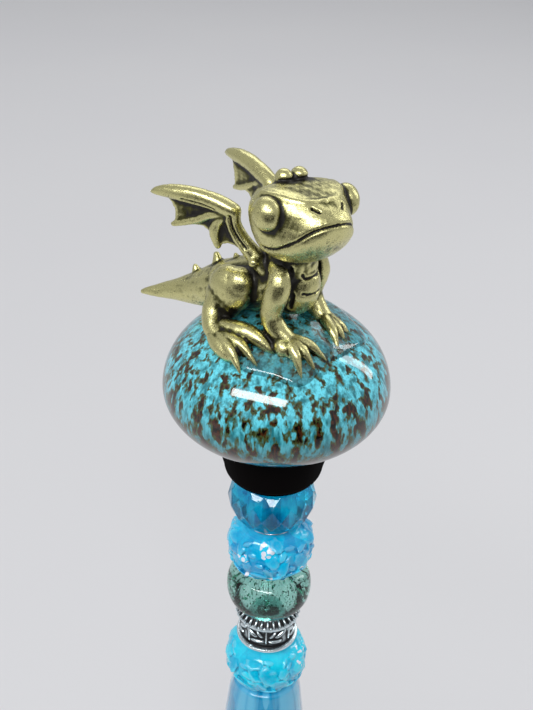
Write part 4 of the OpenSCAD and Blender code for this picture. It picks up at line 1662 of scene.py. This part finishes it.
@dataclass
class Handle:
    """The streaked glass handle, drawn out to a neck at each end."""

    bore: float = 2.45
    neck: float = 5.7
    lip: float = 0.9
    steps: int = 72

    def build(self) -> None:
        """Turns the handle and lets its side swell softly."""
        low, high = node_span("glass_handle")
        belly, half = node_radius("glass_handle"), (high - low) / 2
        lip = (self.lip, self.lip)
        outline = [(self.bore, low), *arc((self.neck - self.lip, low + self.lip), lip, -90, 0, 6)]
        for k in range(2, self.steps - 1):
            z = -half + 2 * half * k / self.steps
            swell = math.sin(math.pi / 2 * (1 - abs(z) / half)) ** 0.82
            outline.append((self.neck + (belly - self.neck) * swell, z))
        outline += [*arc((self.neck - self.lip, high - self.lip), lip, 0, 90, 6), (self.bore, high),
                    (self.bore, low)]
        piece = lathe("blown_handle", outline, 128)
        smooth(piece, 40.0)
        glass = StreakedGlass(half=half, radius=self.neck)
        hand_over(piece, "wand", glass.material(), ["glass_handle"])


@dataclass
class ScrewPoint:
    """The screw-on cap and the quartz point in it."""

    knurls: int = 30
    bore: float = 2.05
    seat: float = 5.0

    def build(self) -> None:
        """Builds the cap and the crystal."""
        self.cap()
        self.crystal()

    def cap(self) -> None:
        """Turns the cap and rolls a knurl round its flange."""
        low, high = node_span("point_cap")
        flange = node_radius("point_cap")
        collar = 5.0
        outline = [(4.05, low), (collar - 0.2, low), (collar, low + 0.2), (collar, low + 7.6),
                   (collar + 0.2, low + 8.0), (collar + 0.45, low + 8.4), (collar + 0.3, low + 9.0),
                   (flange - 0.35, high - 2.4), (flange - 0.1, high - 2.0), (flange - 0.35, high - 1.85),
                   (flange - 0.35, high - 0.3), (flange - 0.6, high), (self.bore, high),
                   (self.bore, high - 7.5), (0.0, high - 7.5)]
        seat = [(0.0, low + self.seat), (4.05, low + self.seat), (4.05, low)]
        pieces = [lathe("turned_cap", [*seat, *outline[1:]], 96)]
        for k in range(self.knurls):
            turn = math.tau * k / self.knurls
            away = flange - 0.38
            pieces.append(ball((away * math.cos(turn), away * math.sin(turn), high - 1.05),
                               (0.36, 0.36, 0.85), (0, 0, 0), 12))
        piece = joined(pieces, "turned_cap")
        smooth(piece, 35.0)
        hand_over(piece, "point", Paint.STEEL.dressed, ["point_cap"])

    def crystal(self) -> None:
        """Cuts a six-sided prism to an uneven point."""
        low, high = node_span("crystal_point")
        radius = node_radius("crystal_point")
        flat, tall = radius * math.cos(math.radians(30)), 9.0
        bpy.ops.object.select_all(action="DESELECT")
        bpy.ops.mesh.primitive_cylinder_add(vertices=6, radius=radius, depth=high - low,
                                            location=(0, 0, (high + low) / 2))
        piece = joined([active()], "quartz_point")
        with editing(piece):
            for k in range(6):
                turn = math.radians(60 * k + 30)
                drop = 0.0 if k % 2 else 1.2
                way = Vector((math.cos(turn), math.sin(turn), -flat / tall)).normalized()
                start = Vector((math.cos(turn), math.sin(turn), 0)) * flat
                bpy.ops.mesh.select_all(action="SELECT")
                bpy.ops.mesh.bisect(plane_co=start + Vector((0, 0, low + tall - drop)), plane_no=way,
                                    use_fill=True, clear_outer=True)
        run_modifier(piece, "BEVEL", width=0.12, segments=2, limit_method="ANGLE",
                     angle_limit=math.radians(20))
        smooth(piece, 15.0)
        hand_over(piece, "point", Paint.QUARTZ.dressed, ["crystal_point"])


def dress_node(node: str, paint: Paint) -> None:
    """Gives a CAD node that keeps its own mesh its finish."""
    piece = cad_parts[node]
    if not piece.material_slots:
        piece.data.materials.append(paint.dressed)
    for entry in piece.material_slots:
        entry.material = paint.dressed
    LOG.info("%s keeps its CAD mesh in %s", node, paint.name)


# ---------------------------------------------------------------- studio


@dataclass
class Studio:
    """Camera, pale floor, even sky, soft boxes and a dark card."""

    pitch: float = 31.4
    roll: float = 1.79
    distance: float = 142.6
    offset: tuple[float, float] = (1.56, -3.82)
    lens: float = 50.2
    rise: float = DOME_RISE

    def camera(self) -> None:
        """Looks down at the knob from the front, with the wand's axis a little out of plumb."""
        _, high = node_span("ceramic_knob")
        knob = Vector((0, 0, high - self.rise))
        pitch, roll = math.radians(self.pitch), math.radians(self.roll)
        ahead = Vector((0, math.cos(pitch), -math.sin(pitch)))
        right, up = Vector((1, 0, 0)), Vector((0, math.sin(pitch), math.cos(pitch)))
        place = knob - ahead * self.distance - right * self.offset[0] - up * self.offset[1]
        across = right * math.cos(roll) + up * math.sin(roll)
        above = up * math.cos(roll) - right * math.sin(roll)
        bpy.ops.object.camera_add()
        camera = active()
        camera.data.lens = self.lens
        camera.data.clip_start, camera.data.clip_end = 0.01, 20.0
        turn = Matrix((across, above, -ahead)).transposed().to_4x4()
        camera.matrix_world = Matrix.Translation(place * MM) @ turn
        bpy.context.scene.camera = camera

    def lamp(self, name: str, azimuth: float, elevation: float, distance: float, size: tuple[float, float],
             power: float) -> None:
        """Adds a rectangular soft box that faces the knob.

        Args:
            name: the lamp's name.
            azimuth: degrees from the front, positive towards +X.
            elevation: degrees above the knob.
            distance: metres from the knob.
            size: width and height in metres.
            power: watts.
        """
        _, high = node_span("ceramic_knob")
        target = Vector((0, 0, (high - self.rise) * MM))
        a, e = math.radians(azimuth), math.radians(elevation)
        way = Vector((math.sin(a) * math.cos(e), -math.cos(a) * math.cos(e), math.sin(e)))
        bpy.ops.object.light_add(type="AREA", location=target + way * distance)
        lamp = active()
        lamp.name = name
        lamp.data.shape = "RECTANGLE"
        lamp.data.size, lamp.data.size_y = size
        lamp.data.energy = power
        lamp.rotation_euler = way.to_track_quat("Z", "Y").to_euler()

    def paper(self, name: str, scale: float, dark: Colour, light: Colour,
              roughness: float) -> bpy.types.Material:
        """A matt material whose colour drifts a little.

        Args:
            name: the material's name.
            scale: how many patches there are to a metre.
            dark: its darker colour.
            light: its lighter colour.
            roughness: its roughness.

        Returns:
            The material.
        """
        material = bpy.data.materials.new(name)
        material.use_nodes = True
        t = Tree(material.node_tree)
        shader = material.node_tree.nodes["Principled BSDF"]
        mottle = t.noise(t.add("TexCoord").outputs["Object"], scale, 3.0)
        t.plug(shader.inputs["Base Color"], t.mix(mottle, dark, light))
        shader.inputs["Roughness"].default_value = roughness
        return material

    def card(self, name: str, at: Point, size: tuple[float, float]) -> None:
        """Stands a dark card up in front of the wand, out of the picture, to be mirrored in the metal.

        Args:
            name: the card's name.
            at: its middle in metres.
            size: its width and height in metres.
        """
        bpy.ops.object.select_all(action="DESELECT")
        bpy.ops.mesh.primitive_plane_add(size=1.0, location=at, rotation=(math.pi / 2, 0, 0))
        card = active()
        card.name = name
        card.scale = (*size, 1.0)
        card.data.materials.append(self.paper("dark_card", 30.0, tone(30, 28, 26), tone(42, 40, 38), 0.8))
        card.visible_camera = False

    def floor(self) -> None:
        """A large pale floor just under the point."""
        low, _ = node_span("crystal_point")
        bpy.ops.object.select_all(action="DESELECT")
        bpy.ops.mesh.primitive_plane_add(size=6.0, location=(0, 0, low * MM - FLOOR_GAP))
        floor = active()
        floor.name = "floor"
        paper = self.paper("pale_paper", 4.0, tone(214, 214, 217), tone(219, 219, 220), 0.9)
        floor.data.materials.append(paper)

    def sky(self, strength: float = 0.52) -> None:
        """Even pale light from all round."""
        world = bpy.data.worlds.new("studio")
        bpy.context.scene.world = world
        world.use_nodes = True
        ground = world.node_tree.nodes["Background"]
        ground.inputs["Color"].default_value = (*tone(246, 247, 250), 1.0)
        ground.inputs["Strength"].default_value = strength

    def build(self) -> None:
        """Sets everything up."""
        self.camera()
        self.sky()
        self.floor()
        self.lamp("key_box", -22, 45, 1.40, (1.30, 0.24), 14.0)
        self.lamp("back_box", 172, 42, 1.50, (1.4, 0.5), 4.5)
        self.lamp("rim_box", 115, 25, 0.90, (0.12, 0.6), 1.2)
        self.card("front_card", (0.0, -0.50, 0.02), (1.1, 0.42))
        scene = bpy.context.scene
        scene.view_settings.view_transform = "Standard"
        scene.view_settings.look = "None"


def main() -> None:
    """Builds the studio and every piece in order, and reports each one."""
    logging.basicConfig(level=logging.INFO, format="%(name)s %(message)s", stream=sys.stdout)
    Studio().build()
    Dragon().build()
    Knob().build()
    GluePool().build()
    FacetedBead("faceted_bead_upper", "faceted_upper").build()
    FacetedBead("faceted_bead_tail", "faceted_tail").build()
    ChipBead("chip_bead_upper", "chip_upper", Paint.AZURE_CHIPS, seed=11).build()
    ChipBead("chip_bead_lower", "chip_lower", Paint.TURQUOISE_CHIPS, seed=12).build()
    ChipBead("chip_bead_tail", "chip_tail", Paint.AZURE_CHIPS, seed=13).build()
    GlitterBead("glitter_bead_upper", "glitter_upper", seed=21).build()
    GlitterBead("glitter_bead_tail", "glitter_tail", seed=22).build()
    for place in ("chip_upper", "chip_lower", "chip_tail", "glitter_upper", "glitter_tail"):
        kind, where = place.split("_")
        CoreTube(f"{kind}_core_{where}", place).build()
    SilverSpacer("silver_spacer_upper", "silver_upper").build()
    SilverSpacer("silver_spacer_tail", "silver_tail").build()
    Handle().build()
    ScrewPoint().build()
    for node, paint in (("knob_insert", Paint.BRASS), ("core_rod", Paint.STEEL),
                        ("end_washer", Paint.STEEL)):
        dress_node(node, paint)


if __name__ == "__main__":
    main()
